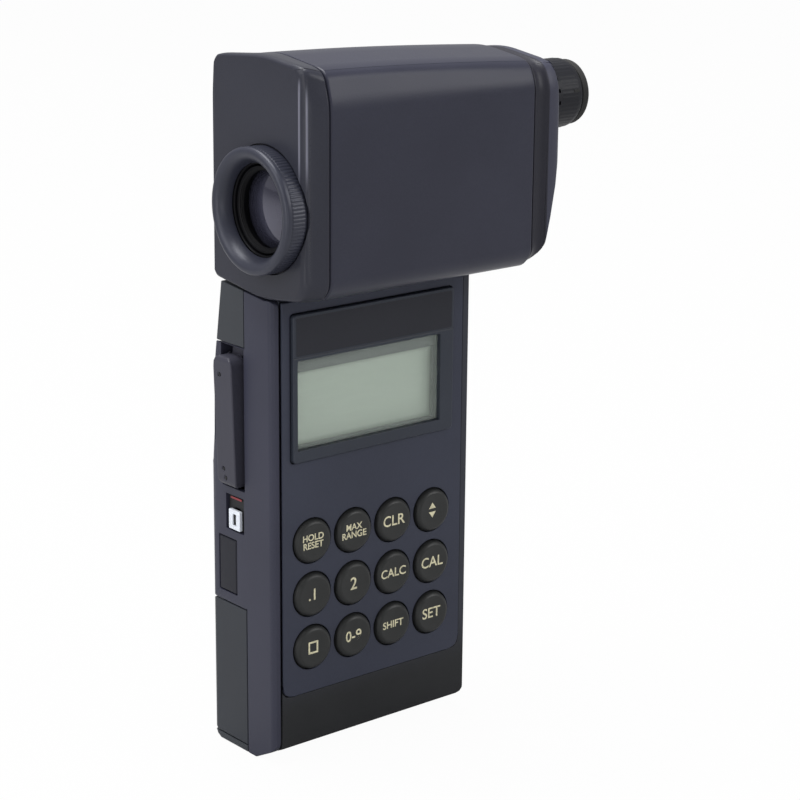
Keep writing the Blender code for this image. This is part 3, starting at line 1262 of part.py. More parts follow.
def eyepiece():
    # fixed tube, turning dioptre ring, lens and rubber rim
    start = REAR - HEAD_WALL - GAP
    flange = start - EYE_FLANGE_THICK
    end = REAR + EYE_TUBE_LENGTH
    profile = [(EYE_FLANGE / 2, flange), (EYE_FLANGE / 2, start), (EYE_TUBE / 2, start),
               (EYE_TUBE / 2, end), (EYE_BORE / 2, end), (EYE_BORE / 2, flange - EYE_TUBE_INSIDE),
               (EYE_TUBE / 2, flange - EYE_TUBE_INSIDE), (EYE_TUBE / 2, flange)]
    tube_piece = place("eyepiece_tube", turned(profile, "X", LENS_Y, EYE_Z, SEGMENTS, True))
    clad(tube_piece, BLACK)
    near = REAR + GAP
    far = near + DIOPTRE_LENGTH
    radius = DIOPTRE_WIDTH / 2
    outside = [(near, radius - GAP, 0.0), (near + GAP, radius, 0.0),
               (near + DIOPTRE_COLLAR, radius, 0.0), (near + DIOPTRE_COLLAR + GAP, radius, 1.0),
               (far - GAP, radius, 1.0), (far, radius - GAP * 2, 0.0)]
    inside = [(far, EYE_TUBE / 2 + GAP), (near, EYE_TUBE / 2 + GAP)]
    ring = place("dioptre_ring", toothed(EYE_Z, DIOPTRE_FLUTE, DIOPTRE_FLUTES, outside, inside))
    clad(ring, BLACK, (near, LENS_Y, EYE_Z), 40)
    begin = far + GAP
    stop = begin + CUP_LENGTH
    profile = [(radius - GAP * 2, begin), (radius - GAP * 2, stop - CUP_ROUND),
               (radius - GAP * 2 - CUP_ROUND, stop), (CUP_BORE / 2 + CUP_ROUND, stop),
               (CUP_BORE / 2, stop - CUP_ROUND), (CUP_BORE / 2, begin)]
    cup = place("eyecup", turned(profile, "X", LENS_Y, EYE_Z, SEGMENTS, True))
    clad(cup, RUBBER)
    rim = end - EYE_LENS_SUNK - EYE_LENS_THICK
    glass = place("eyepiece_lens", lens(rim, LENS_Y, EYE_Z, EYE_BORE / 2 - GAP, EYE_LENS_THICK,
                                        EYE_LENS_EDGE))
    clad(glass, GLASS, (0, 0, 0), 40)


reset()

NAVY = finish("navy_paint", (61, 62, 79), 0.5)
NAVY_PANEL = finish("navy_panel", (60, 61, 77), 0.5)
NAVY_DARK = finish("navy_dark", (46, 47, 60), 0.5)
GREY = finish("grey_paint", (67, 69, 76), 0.5)
BLACK = finish("black_plastic", (40, 41, 43), 0.45)
BLACK_KEY = finish("key_rubber", (36, 36, 37), 0.5)
RUBBER = finish("black_rubber", (30, 30, 31), 0.8)
CLEAR = finish("clear_window", (200, 206, 200), 0.08, 0.0, 0.25)
LCD = finish("lcd_panel", (150, 157, 150), 0.35)
WHITE = finish("white_plastic", (225, 226, 228), 0.4)
RED = finish("red_paint", (190, 50, 50), 0.5)
GLASS = finish("coated_glass", (70, 74, 84), 0.06)
MIRROR = finish("mirror_coat", (200, 204, 208), 0.05, 1.0)
STEEL = finish("dark_steel", (96, 98, 102), 0.35, 1.0)
NICKEL = finish("nickel", (190, 188, 180), 0.3, 1.0)
ALUMINIUM = finish("black_aluminium", (52, 53, 56), 0.45, 0.6)
BOARD = finish("circuit_board", (38, 84, 58), 0.5)
CELL = finish("cell_sleeve", (112, 118, 128), 0.35, 0.2)

front_case()
rear_case()
front_cover()
keypad_panel()
for label, key_x, key_z in key_places():
    key(label, key_x, key_z)
keypad_mat()
display_bezel()
display_window()
lcd_parts()
main_board()
board_screws()
case_screws()
battery_cover()
cells_and_contacts()
trigger()
power_switch()
jack_parts()
neck()
head_front()
head_body()
rear_cap()
objective()
optics()
eyepiece()
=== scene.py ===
"""Looks of a hand-held luminance meter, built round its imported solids."""

import json
import logging
import math
from abc import ABC, abstractmethod
from collections.abc import Callable, Iterator, Sequence
from dataclasses import dataclass, field
from enum import Enum

import bpy
from mathutils import Matrix, Vector


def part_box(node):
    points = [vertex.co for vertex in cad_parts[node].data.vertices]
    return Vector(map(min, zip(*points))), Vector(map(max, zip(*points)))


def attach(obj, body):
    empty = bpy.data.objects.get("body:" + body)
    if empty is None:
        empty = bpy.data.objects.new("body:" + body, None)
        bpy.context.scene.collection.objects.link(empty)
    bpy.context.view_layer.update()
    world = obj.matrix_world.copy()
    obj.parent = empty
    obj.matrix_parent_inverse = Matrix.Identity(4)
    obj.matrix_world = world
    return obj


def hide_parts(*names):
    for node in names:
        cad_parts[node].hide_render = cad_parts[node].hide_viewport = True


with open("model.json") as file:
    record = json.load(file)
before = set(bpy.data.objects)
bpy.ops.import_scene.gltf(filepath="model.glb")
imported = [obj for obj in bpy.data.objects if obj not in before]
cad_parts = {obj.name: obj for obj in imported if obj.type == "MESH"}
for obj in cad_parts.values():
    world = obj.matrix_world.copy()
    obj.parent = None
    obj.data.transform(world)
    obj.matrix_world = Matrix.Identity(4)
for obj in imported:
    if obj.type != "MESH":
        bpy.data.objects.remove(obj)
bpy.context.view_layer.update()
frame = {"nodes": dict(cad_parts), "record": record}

MM = 0.001
WORK_SCALE = 1000.0
MERGE = 0.001 * MM
SHELL_ANGLE = 35.0
LATHE_ANGLE = 30.0

Spot = tuple[float, float]
Point = tuple[float, float, float]
Depths = tuple[float, ...]
Tone = tuple[int, int, int]
Thing = bpy.types.Object

# Y and Z of the lines, parallel to X, on which the objective and the eyepiece turn
LENS_AXIS: Spot = (-0.0134, 0.1617)
EYE_AXIS: Spot = (-0.0134, 0.1839)

log = logging.getLogger("meter")


class Slot(Enum):
    """Names of the record's material slots, passed along with the new pieces."""

    NAVY_SHELL = "navy_shell"
    NAVY_PANEL = "navy_panel"
    NAVY_DARK = "navy_dark"
    RING = "ring_finish"
    GREY_SHELL = "grey_shell"
    BLACK_PLASTIC = "black_plastic"
    KEY_CAP = "key_cap"
    BLACK_RUBBER = "black_rubber"
    WHITE_PLASTIC = "white_plastic"
    RED_MARK = "red_mark"
    GLASS = "coated_glass"
    DARK_STEEL = "dark_steel"
    BLACK_METAL = "black_aluminium"
    DIOPTRE = "dioptre_plastic"


class Mark(Enum):
    """Drawn symbols for keys that carry no word."""

    SQUARE = "square"
    ARROWS = "arrows"


def linear(channel: float) -> float:
    """Turn one display colour channel from 0 to 255 into its linear value."""
    share = channel / 255
    return share / 12.92 if share <= 0.04045 else ((share + 0.055) / 1.055) ** 2.4


def colour(tone: Sequence[float], factor: float = 1.0) -> tuple[float, float, float, float]:
    """Give a display tone's linear colour, multiplied by a factor, with an alpha of one."""
    red, green, blue = (min(1.0, linear(channel) * factor) for channel in tone)
    return (red, green, blue, 1.0)


class Field:
    """A number that varies over a surface, with arithmetic that adds Math nodes."""

    def __init__(self, sheet: "Sheet", socket: bpy.types.NodeSocket) -> None:
        """Wrap an output socket of a sheet."""
        self.sheet = sheet
        self.socket = socket

    def _math(self, operation: str, first: object, second: object = 0.0) -> "Field":
        """Add one Math node for two values."""
        node = self.sheet.node("ShaderNodeMath", {"operation": operation}, {0: first, 1: second})
        return Field(self.sheet, node.outputs[0])

    def __add__(self, other: object) -> "Field":
        """Add a value."""
        return self._math("ADD", self, other)

    def __radd__(self, other: object) -> "Field":
        """Add to a value."""
        return self._math("ADD", other, self)

    def __sub__(self, other: object) -> "Field":
        """Take a value away."""
        return self._math("SUBTRACT", self, other)

    def __rsub__(self, other: object) -> "Field":
        """Take away from a value."""
        return self._math("SUBTRACT", other, self)

    def __mul__(self, other: object) -> "Field":
        """Multiply by a value."""
        return self._math("MULTIPLY", self, other)

    def __truediv__(self, other: object) -> "Field":
        """Divide by a value."""
        return self._math("DIVIDE", self, other)

    def __pow__(self, other: object) -> "Field":
        """Raise to a power."""
        return self._math("POWER", self, other)

    def __abs__(self) -> "Field":
        """Give the size without its sign."""
        return self._math("ABSOLUTE", self)

    def sine(self) -> "Field":
        """Give the sine."""
        return self._math("SINE", self)

    def most(self, other: object) -> "Field":
        """Give the larger of two values."""
        return self._math("MAXIMUM", self, other)

    def least(self, other: object) -> "Field":
        """Give the smaller of two values."""
        return self._math("MINIMUM", self, other)

    def between(self, low: float, high: float, start: float = 0.0, end: float = 1.0) -> "Field":
        """Map a stretch of values smoothly on to another.

        Args:
            low: Value that becomes start.
            high: Value that becomes end.
            start: Result at and below low.
            end: Result at and above high.

        Returns:
            The mapped value.
        """
        node = self.sheet.node(
            "ShaderNodeMapRange", {"interpolation_type": "SMOOTHSTEP"},
            {"Value": self, "From Min": low, "From Max": high, "To Min": start, "To Max": end})
        return Field(self.sheet, node.outputs["Result"])


class Sheet:
    """The node tree of one material and its main shader."""

    def __init__(self, name: str) -> None:
        """Start a material with a Principled shader.

        Args:
            name: Name of the material.
        """
        self.material = bpy.data.materials.new(name)
        self.material.use_nodes = True
        self.tree = self.material.node_tree
        self.tree.nodes.clear()
        self.output = self.tree.nodes.new("ShaderNodeOutputMaterial")
        self.shader = self.tree.nodes.new("ShaderNodeBsdfPrincipled")
        self.tree.links.new(self.shader.outputs["BSDF"], self.output.inputs["Surface"])
        self._place: bpy.types.NodeSocket | None = None

    def node(self, kind: str, settings: dict[str, object], inputs: dict[object, object]) -> bpy.types.Node:
        """Add a node.

        Args:
            kind: Blender's name of the node type.
            settings: Attributes that are set first; stops are a ramp's places and colours.
            inputs: Values or links of its sockets, by name or number.

        Returns:
            The new node.
        """
        made = self.tree.nodes.new(kind)
        for key, value in settings.items():
            if key == "stops":
                self._stops(made.color_ramp, value)
            else:
                setattr(made, key, value)
        for key, value in inputs.items():
            self.feed(made.inputs[key], value)
        return made

    def feed(self, socket: bpy.types.NodeSocket, value: object) -> None:
        """Set a socket to a value or link it to a field or socket.

        Args:
            socket: Input socket.
            value: A plain value, a field or an output socket.
        """
        if isinstance(value, Field):
            value = value.socket
        if isinstance(value, bpy.types.NodeSocket):
            self.tree.links.new(value, socket)
        else:
            socket.default_value = value

    @staticmethod
    def _stops(ramp: bpy.types.ColorRamp, stops: Sequence[tuple[float, Sequence[float]]]) -> None:
        """Give a ramp its stops.

        Args:
            ramp: The ramp.
            stops: Places from 0 to 1 with their colours.
        """
        while len(ramp.elements) < len(stops):
            ramp.elements.new(0.5)
        for element, (place, tone) in zip(ramp.elements, stops):
            element.position = place
            element.color = tone

    def place(self) -> bpy.types.NodeSocket:
        """Give the object coordinates, in metres.

        Returns:
            The socket, whose node is made once.
        """
        if self._place is None:
            self._place = self.node("ShaderNodeTexCoord", {}, {}).outputs["Object"]
        return self._place

    def mapped(self, stretch: Point, centre: Point = (0.0, 0.0, 0.0)) -> bpy.types.NodeSocket:
        """Give the coordinates moved to a centre and stretched along each axis.

        Args:
            stretch: Factor along each axis.
            centre: Point that becomes the origin.

        Returns:
            The vector socket.
        """
        shift = tuple(-part * factor for part, factor in zip(centre, stretch))
        return self.node("ShaderNodeMapping", {},
                         {"Vector": self.place(), "Location": shift, "Scale": stretch}).outputs["Vector"]

    def axes(self, vector: bpy.types.NodeSocket | None = None) -> tuple[Field, Field, Field]:
        """Split a vector, or the coordinates, into its three parts."""
        parts = self.node("ShaderNodeSeparateXYZ", {}, {0: vector or self.place()}).outputs
        return Field(self, parts[0]), Field(self, parts[1]), Field(self, parts[2])

    def around(self, centre: Spot) -> tuple[Field, Field]:
        """Give the place along a line parallel to X, and the distance from that line."""
        along, across, up = self.axes(self.mapped((1.0, 1.0, 1.0), (0.0, *centre)))
        return along, (across * across + up * up) ** 0.5

    def noise(self, scale: float, detail: float = 2.0, stretch: Point | None = None,
              roughness: float = 0.5) -> Field:
        """Give a soft random pattern.

        Args:
            scale: Features per metre.
            detail: Number of finer layers.
            stretch: Factor along each axis, for brushed or turned marks.
            roughness: Weight of the finer layers.

        Returns:
            Values of about 0.3 to 0.7.
        """
        vector = self.mapped(stretch) if stretch else self.place()
        node = self.node("ShaderNodeTexNoise", {},
                         {"Vector": vector, "Scale": scale, "Detail": detail, "Roughness": roughness})
        return Field(self, node.outputs["Fac"])

    def pits(self, scale: float) -> Field:
        """Give the distance to the nearest of scattered points, as pits or grains."""
        node = self.node("ShaderNodeTexVoronoi", {"feature": "F1"}, {"Vector": self.place(), "Scale": scale})
        return Field(self, node.outputs["Distance"])

    def mix(self, factor: object, first: object, second: object) -> bpy.types.NodeSocket:
        """Mix two colours.

        Args:
            factor: Share of the second colour.
            first: Colour at zero.
            second: Colour at one.

        Returns:
            The colour socket.
        """
        node = self.node("ShaderNodeMix", {"data_type": "RGBA"}, {})
        self.feed(node.inputs[0], factor)
        self.feed(node.inputs[6], first)
        self.feed(node.inputs[7], second)
        return node.outputs[2]

    def shades(self, factor: object, tone: Tone, low: float, high: float) -> bpy.types.NodeSocket:
        """Mix two brightnesses of one tone."""
        return self.mix(factor, colour(tone, low), colour(tone, high))

    def bump(self, height: Field, depth: float) -> bpy.types.NodeSocket:
        """Give a normal bent by a height field whose value of one is as high as depth."""
        node = self.node("ShaderNodeBump", {}, {"Strength": 1.0, "Distance": depth, "Height": height})
        return node.outputs["Normal"]

    def tint(self, factor: object, over: object) -> None:
        """Lay another colour over the base colour, by a factor."""
        base = self.shader.inputs["Base Color"].links[0].from_socket
        self.wear(Base_Color=self.mix(factor, base, over))

    def wear(self, **sockets: object) -> None:
        """Set the sockets of the main shader by their names, with spaces as underscores."""
        for key, value in sockets.items():
            self.feed(self.shader.inputs[key.replace("_", " ")], value)


@dataclass(frozen=True)
class Finish(ABC):
    """What a surface is made of."""

    name: str
    tone: Tone

    @abstractmethod
    def paint(self, sheet: Sheet) -> None:
        """Build the nodes of the finish on a sheet."""

    def material(self) -> bpy.types.Material:
        """Give the finish's material, made once.

        Returns:
            The material.
        """
        known = bpy.data.materials.get(self.name)
        if known is not None:
            return known
        sheet = Sheet(self.name)
        self.paint(sheet)
        sheet.material.diffuse_color = colour(self.tone)
        return sheet.material


@dataclass(frozen=True)
class SatinPaint(Finish):
    """Sprayed satin paint over a shell, with a fine peel and faint handling marks."""

    roughness: float = 0.42
    peel: float = 0.016
    spread: float = 0.1
    shine: float = 0.2

    def paint(self, sheet: Sheet) -> None:
        """Vary tone, gloss and texture of the paint film.

        Args:
            sheet: Node tree that is filled.
        """
        cloud = sheet.noise(34.0, 4.0)
        drift = sheet.noise(9.0, 2.0)
        grain = sheet.noise(2300.0, 2.0)
        fleck = sheet.pits(1500.0).between(0.1, 0.5)
        shade = (cloud - 0.5) * 0.7 + (grain - 0.5) * 0.5 + (drift - 0.5) * 0.6 + 0.5
        sheet.wear(Base_Color=sheet.shades(shade.between(0.2, 0.8), self.tone, 1 - self.spread,
                                           1 + self.spread),
                   Roughness=(cloud - 0.5) * 0.16 + (grain - 0.5) * 0.12 + self.roughness,
                   Normal=sheet.bump(grain * 0.7 + fleck * 0.3, self.peel * MM),
                   Specular_IOR_Level=self.shine)


@dataclass(frozen=True)
class EdgeHighlightPaint(SatinPaint):
    """Satin paint with a painted highlight line along upright edges."""

    edges: tuple[Spot, ...] = ((-0.0363, -0.0283), (-0.0355, -0.0306))
    span: Spot = (0.168, 0.199)
    ends: Spot = (10.0 * MM, 3.0 * MM)
    width: Spot = (0.05 * MM, 0.55 * MM)
    # tone of the painted highlight lines
    sheen: Tone = (120, 121, 134)

    def paint(self, sheet: Sheet) -> None:
        """Paint the shell, then paint a fine highlight line along each edge.

        Args:
            sheet: Node tree that is filled.
        """
        super().paint(sheet)
        along, depth, height = sheet.axes()
        lines: Field | None = None
        for x, y in self.edges:
            reach = ((along - x) * (along - x) + (depth - y) * (depth - y)) ** 0.5
            line = reach.between(*self.width, 1.0, 0.0)
            lines = line if lines is None else lines.most(line)
        foot, head = self.span
        ends = height.between(foot, foot + self.ends[0]) * height.between(
            head - self.ends[1], head, 1.0, 0.0)
        # painted highlight: a lighter line along each upright edge, fading out towards both ends
        sheet.tint(lines * ends * 0.8, colour(self.sheen))


@dataclass(frozen=True)
class CapPaint(SatinPaint):
    """Satin paint that is lighter from a place along X onwards."""

    rim: Tone = (58, 59, 72)
    start: float = 0.0484
    blur: float = 0.15 * MM

    def paint(self, sheet: Sheet) -> None:
        """Paint the waist dark and the rim light.

        Args:
            sheet: Node tree that is filled.
        """
        super().paint(sheet)
        along, _, _ = sheet.axes()
        lit = along.between(self.start - self.blur, self.start + self.blur)
        sheet.tint(lit, colour(self.rim))


@dataclass(frozen=True)
class ShellPaint(SatinPaint):
    """Satin paint of the grip: one tone round its middle, another on its upper back."""

    other: Tone = (52, 55, 60)
    seam: float = -0.0020
    step: float = 0.1208
    foot: float = 0.0440
    blur: float = 0.02 * MM

    def paint(self, sheet: Sheet) -> None:
        """Paint the shell, then tint what lies behind the seam above and below the middle.

        Args:
            sheet: Node tree that is filled.
        """
        super().paint(sheet)
        _, depth, height = sheet.axes()
        behind = depth.between(self.seam - self.blur, self.seam + self.blur)
        above = height.between(self.step - self.blur, self.step + self.blur)
        below = height.between(self.foot - self.blur, self.foot + self.blur, 1.0, 0.0)
        cloud = sheet.noise(30.0, 3.0)
        second = sheet.shades(cloud.between(0.3, 0.7), self.other, 0.93, 1.07)
        sheet.tint(behind * above.most(below), second)


@dataclass(frozen=True)
class MouldedPlastic(Finish):
    """Moulded plastic with the fine spark texture of its tool."""

    roughness: float = 0.42
    texture: float = 0.02
    scale: float = 2600.0

    def paint(self, sheet: Sheet) -> None:
        """Vary tone, gloss and grain of the moulded skin.

        Args:
            sheet: Node tree that is filled.
        """
        grain = sheet.pits(self.scale).between(0.05, 0.55)
        cloud = sheet.noise(48.0, 3.0)
        fine = sheet.noise(self.scale * 1.3, 1.0)
        shade = (cloud - 0.5) * 0.8 + (fine - 0.5) * 0.4 + 0.5
        sheet.wear(Base_Color=sheet.shades(shade.between(0.25, 0.75), self.tone, 0.9, 1.1),
                   Roughness=(cloud - 0.5) * 0.18 + (grain - 0.5) * 0.06 + self.roughness,
                   Normal=sheet.bump(grain * 0.6 + fine * 0.4, self.texture * MM),
                   Specular_IOR_Level=0.2)


@dataclass(frozen=True)
class CoverPlastic(MouldedPlastic):
    """Plastic of the front cover: black at its foot, with a painted navy sheen higher up, seen up its right
    edge.
    """

    # colour of the painted sheen
    sheen_tone: Tone = (48, 50, 58)
    rise: Spot = (0.014, 0.032)

    def paint(self, sheet: Sheet) -> None:
        """Mould the cover, then tint its upper part with the painted sheen.

        Args:
            sheet: Node tree that is filled.
        """
        super().paint(sheet)
        _, _, height = sheet.axes()
        # painted sheen: the cover turns from black to a lighter navy between these heights
        sheet.tint(height.between(*self.rise), colour(self.sheen_tone))


@dataclass(frozen=True)
class Rubber(Finish):
    """Dull black rubber with a slight bloom."""

    def paint(self, sheet: Sheet) -> None:
        """Vary the bloom and the skin.

        Args:
            sheet: Node tree that is filled.
        """
        bloom = sheet.noise(90.0, 4.0)
        skin = sheet.noise(1700.0, 3.0)
        sheet.wear(Base_Color=sheet.shades(bloom.between(0.4, 0.75), self.tone, 1.0, 1.7),
                   Roughness=(bloom - 0.5) * 0.25 + 0.78, Specular_IOR_Level=0.3,
                   Normal=sheet.bump(skin, 0.03 * MM))


@dataclass(frozen=True)
class KeyPlastic(Finish):
    """Satin key cap, glossier on its crown from finger polish, and lighter there as a painted sheen."""

    crown: float = -0.0165

    def paint(self, sheet: Sheet) -> None:
        """Make the crown glossier, paint a lighter sheen on it and leave the flanks dull.

        Args:
            sheet: Node tree that is filled.
        """
        _, depth, _ = sheet.axes()
        sheen = depth.between(self.crown + 0.5 * MM, self.crown - 0.3 * MM)
        grain = sheet.noise(2800.0, 2.0)
        cloud = sheet.noise(260.0, 3.0)
        # painted sheen: the crown's foremost ring is lighter in colour; its lower roughness there is finger
        # polish
        sheet.wear(Base_Color=sheet.shades((cloud - 0.5) * 0.8 + sheen * 0.4 + 0.2, self.tone, 0.85, 1.3),
                   Roughness=0.52 - sheen * 0.14 + (cloud - 0.5) * 0.2,
                   Normal=sheet.bump(grain, 0.012 * MM), Specular_IOR_Level=0.3)


@dataclass(frozen=True)
class PrintedInk(Finish):
    """Screen-printed ink, a little uneven in its cover."""

    def paint(self, sheet: Sheet) -> None:
        """Thin the ink in places.

        Args:
            sheet: Node tree that is filled.
        """
        cover = sheet.noise(1900.0, 3.0)
        sheet.wear(Base_Color=sheet.shades(cover.between(0.35, 0.65), self.tone, 0.72, 1.06),
                   Roughness=(cover - 0.5) * 0.3 + 0.5, Normal=sheet.bump(cover, 0.008 * MM))


@dataclass(frozen=True)
class TurnedMetal(Finish):
    """Anodised or plated metal with turning marks round a line along X."""

    metallic: float = 0.5
    roughness: float = 0.36
    shine: float = 0.4
    pitch: float = 9000.0

    def paint(self, sheet: Sheet) -> None:
        """Cut fine rings round the axis and vary the gloss.

        Args:
            sheet: Node tree that is filled.
        """
        along, reach = sheet.around(LENS_AXIS)
        rings = sheet.node("ShaderNodeCombineXYZ", {},
                           {0: along * self.pitch, 1: reach * self.pitch, 2: 0.0})
        lathe = Field(sheet, sheet.node("ShaderNodeTexNoise", {},
                                        {"Vector": rings.outputs[0], "Scale": 1.0,
                                         "Detail": 2.0}).outputs["Fac"])
        cloud = sheet.noise(70.0, 3.0)
        sheet.wear(Base_Color=sheet.shades((cloud - 0.5) * 0.8 + (lathe - 0.5) * 0.7 + 0.5,
                                           self.tone, 0.86, 1.16),
                   Metallic=self.metallic, Specular_IOR_Level=self.shine,
                   Roughness=(lathe - 0.5) * 0.2 + (cloud - 0.5) * 0.12 + self.roughness,
                   Normal=sheet.bump(lathe, 0.006 * MM))


@dataclass(frozen=True)
class SheetMetal(Finish):
    """Rolled or plated sheet metal with faint brushing."""

    metallic: float = 1.0
    roughness: float = 0.34
    brush: Point = (60.0, 2600.0, 2600.0)

    def paint(self, sheet: Sheet) -> None:
        """Brush the metal along one axis.

        Args:
            sheet: Node tree that is filled.
        """
        brushed = sheet.noise(1.0, 3.0, self.brush)
        stain = sheet.noise(150.0, 4.0)
        sheet.wear(Base_Color=sheet.shades(stain.between(0.35, 0.75), self.tone, 1.0, 0.74),
                   Metallic=self.metallic,
                   Roughness=(brushed - 0.5) * 0.3 + (stain - 0.5) * 0.2 + self.roughness,
                   Normal=sheet.bump(brushed, 0.01 * MM))


@dataclass(frozen=True)
class ClearPane(Finish):
    """Clear acrylic window in front of the display."""

    cover: float = 0.13

    def paint(self, sheet: Sheet) -> None:
        """Leave a thin reflecting film with faint wipe marks.

        Args:
            sheet: Node tree that is filled.
        """
        wipe = sheet.noise(1.0, 3.0, (40.0, 40.0, 380.0))
        sheet.wear(Base_Color=colour(self.tone), Roughness=wipe.between(0.3, 0.8, 0.05, 0.12),
                   Alpha=wipe.between(0.3, 0.8, self.cover, self.cover + 0.03), IOR=1.49)


@dataclass(frozen=True)
class DisplayFilm(Finish):
    """Reflective display film behind glass, with painted shade darkening it towards the rim of its field."""

    low: Spot = (-0.0274, 0.0938)
    high: Spot = (0.0229, 0.1149)
    dark: Tone = (34, 40, 36)

    def paint(self, sheet: Sheet) -> None:
        """Darken what lies outside the lit field, paint shade along the field's rim and lay the polariser's
        grain.

        Args:
            sheet: Node tree that is filled.
        """
        across, _, up = sheet.axes()
        side = (across - self.low[0]).least(self.high[0] - across)
        rise = (up - self.low[1]).least(self.high[1] - up)
        # painted shade: the field darkens over its last 1.5 mm towards its rim
        rim = side.least(rise).between(-0.1 * MM, 1.5 * MM)
        grain = sheet.noise(3400.0, 2.0)
        cloud = sheet.noise(40.0, 2.0)
        face = sheet.shades((cloud - 0.5) * 0.9 + (grain - 0.5) * 0.5 + 0.5, self.tone, 0.93, 1.07)
        inside = side.least(rise).between(-0.25 * MM, 0.05 * MM)
        rim_shaded_face = sheet.mix(rim, colour(self.tone, 0.6), face)
        sheet.wear(Base_Color=sheet.mix(inside, colour(self.dark), rim_shaded_face),
                   Roughness=(grain - 0.5) * 0.1 + 0.3, Specular_IOR_Level=0.4,
                   Normal=sheet.bump(grain, 0.004 * MM))


@dataclass(frozen=True)
class CoatedGlass(Finish):
    """Dark lens glass whose coating tints its reflection."""

    centre: Spot = LENS_AXIS
    radius: float = 0.011
    dust: Tone = (128, 130, 136)

    def paint(self, sheet: Sheet) -> None:
        """Paint the glass lighter in its middle and darker towards its rim, a painted reflection, and add a
        few dust specks.

        Args:
            sheet: Node tree that is filled.
        """
        _, reach = sheet.around(self.centre)
        specks = sheet.pits(900.0).between(0.03, 0.09, 1.0, 0.0)
        # painted reflection: the glass is lighter in its middle and darker towards its rim
        rim_shaded_glass = sheet.shades((reach / self.radius).between(0.35, 1.0), self.tone, 1.0, 0.55)
        sheet.wear(Base_Color=sheet.mix(specks * 0.35, rim_shaded_glass, colour(self.dust)),
                   Roughness=specks * 0.3 + 0.07, Coat_Weight=0.7, Coat_Roughness=0.05,
                   Coat_Tint=(0.62, 0.6, 0.86, 1.0), IOR=1.6)


@dataclass(frozen=True)
class MirrorCoat(Finish):
    """Front-surface mirror."""

    def paint(self, sheet: Sheet) -> None:
        """Leave a bright metal film with a trace of haze."""
        haze = sheet.noise(220.0, 3.0)
        sheet.wear(Base_Color=colour(self.tone), Metallic=1.0, Roughness=haze.between(0.3, 0.8, 0.03, 0.1))


@dataclass(frozen=True)
class BoardLacquer(Finish):
    """Solder-masked circuit board with copper tracks under the lacquer."""

    solder: Tone = (196, 190, 170)
    lanes: float = 2400.0

    def paint(self, sheet: Sheet) -> None:
        """Draw tracks and pads.

        Args:
            sheet: Node tree that is filled.
        """
        across, _, up = sheet.axes()
        lanes = abs((across * self.lanes).sine()).between(0.75, 0.9)
        rows = abs((up * self.lanes).sine()).between(0.8, 0.92)
        region = sheet.noise(90.0, 1.0).between(0.48, 0.52)
        tracks = lanes * region + rows * (1 - region)
        pads = sheet.pits(260.0).between(0.1, 0.16, 1.0, 0.0)
        masked = sheet.shades(tracks, self.tone, 1.0, 1.5)
        sheet.wear(Base_Color=sheet.mix(pads, masked, colour(self.solder)),
                   Metallic=pads * 0.9, Roughness=0.42 - pads * 0.15,
                   Normal=sheet.bump(tracks * 0.6 + pads * 0.4, 0.03 * MM))


@dataclass(frozen=True)
class PrintedSleeve(Finish):
    """Shrink sleeve of a round cell, with a darker band and bare metal ends."""

    reach: float = 0.0235
    blur: float = 0.2 * MM
    band_start: float = 0.012
    gold: Tone = (196, 150, 70)
    bare: Tone = (186, 186, 182)

    def paint(self, sheet: Sheet) -> None:
        """Lay the band and the bare ends along the cell.

        Args:
            sheet: Node tree that is filled.
        """
        along, _, _ = sheet.axes()
        ends = abs(along).between(self.reach, self.reach + self.blur)
        band = along.between(self.band_start, self.band_start + self.blur)
        wrinkle = sheet.noise(1.0, 2.0, (2200.0, 160.0, 160.0))
        printed = sheet.mix(band, colour(self.tone), colour(self.gold))
        sheet.wear(Base_Color=sheet.mix(ends, printed, colour(self.bare)), Metallic=ends,
                   Roughness=0.34 + (wrinkle - 0.5) * 0.2, Normal=sheet.bump(wrinkle, 0.02 * MM))


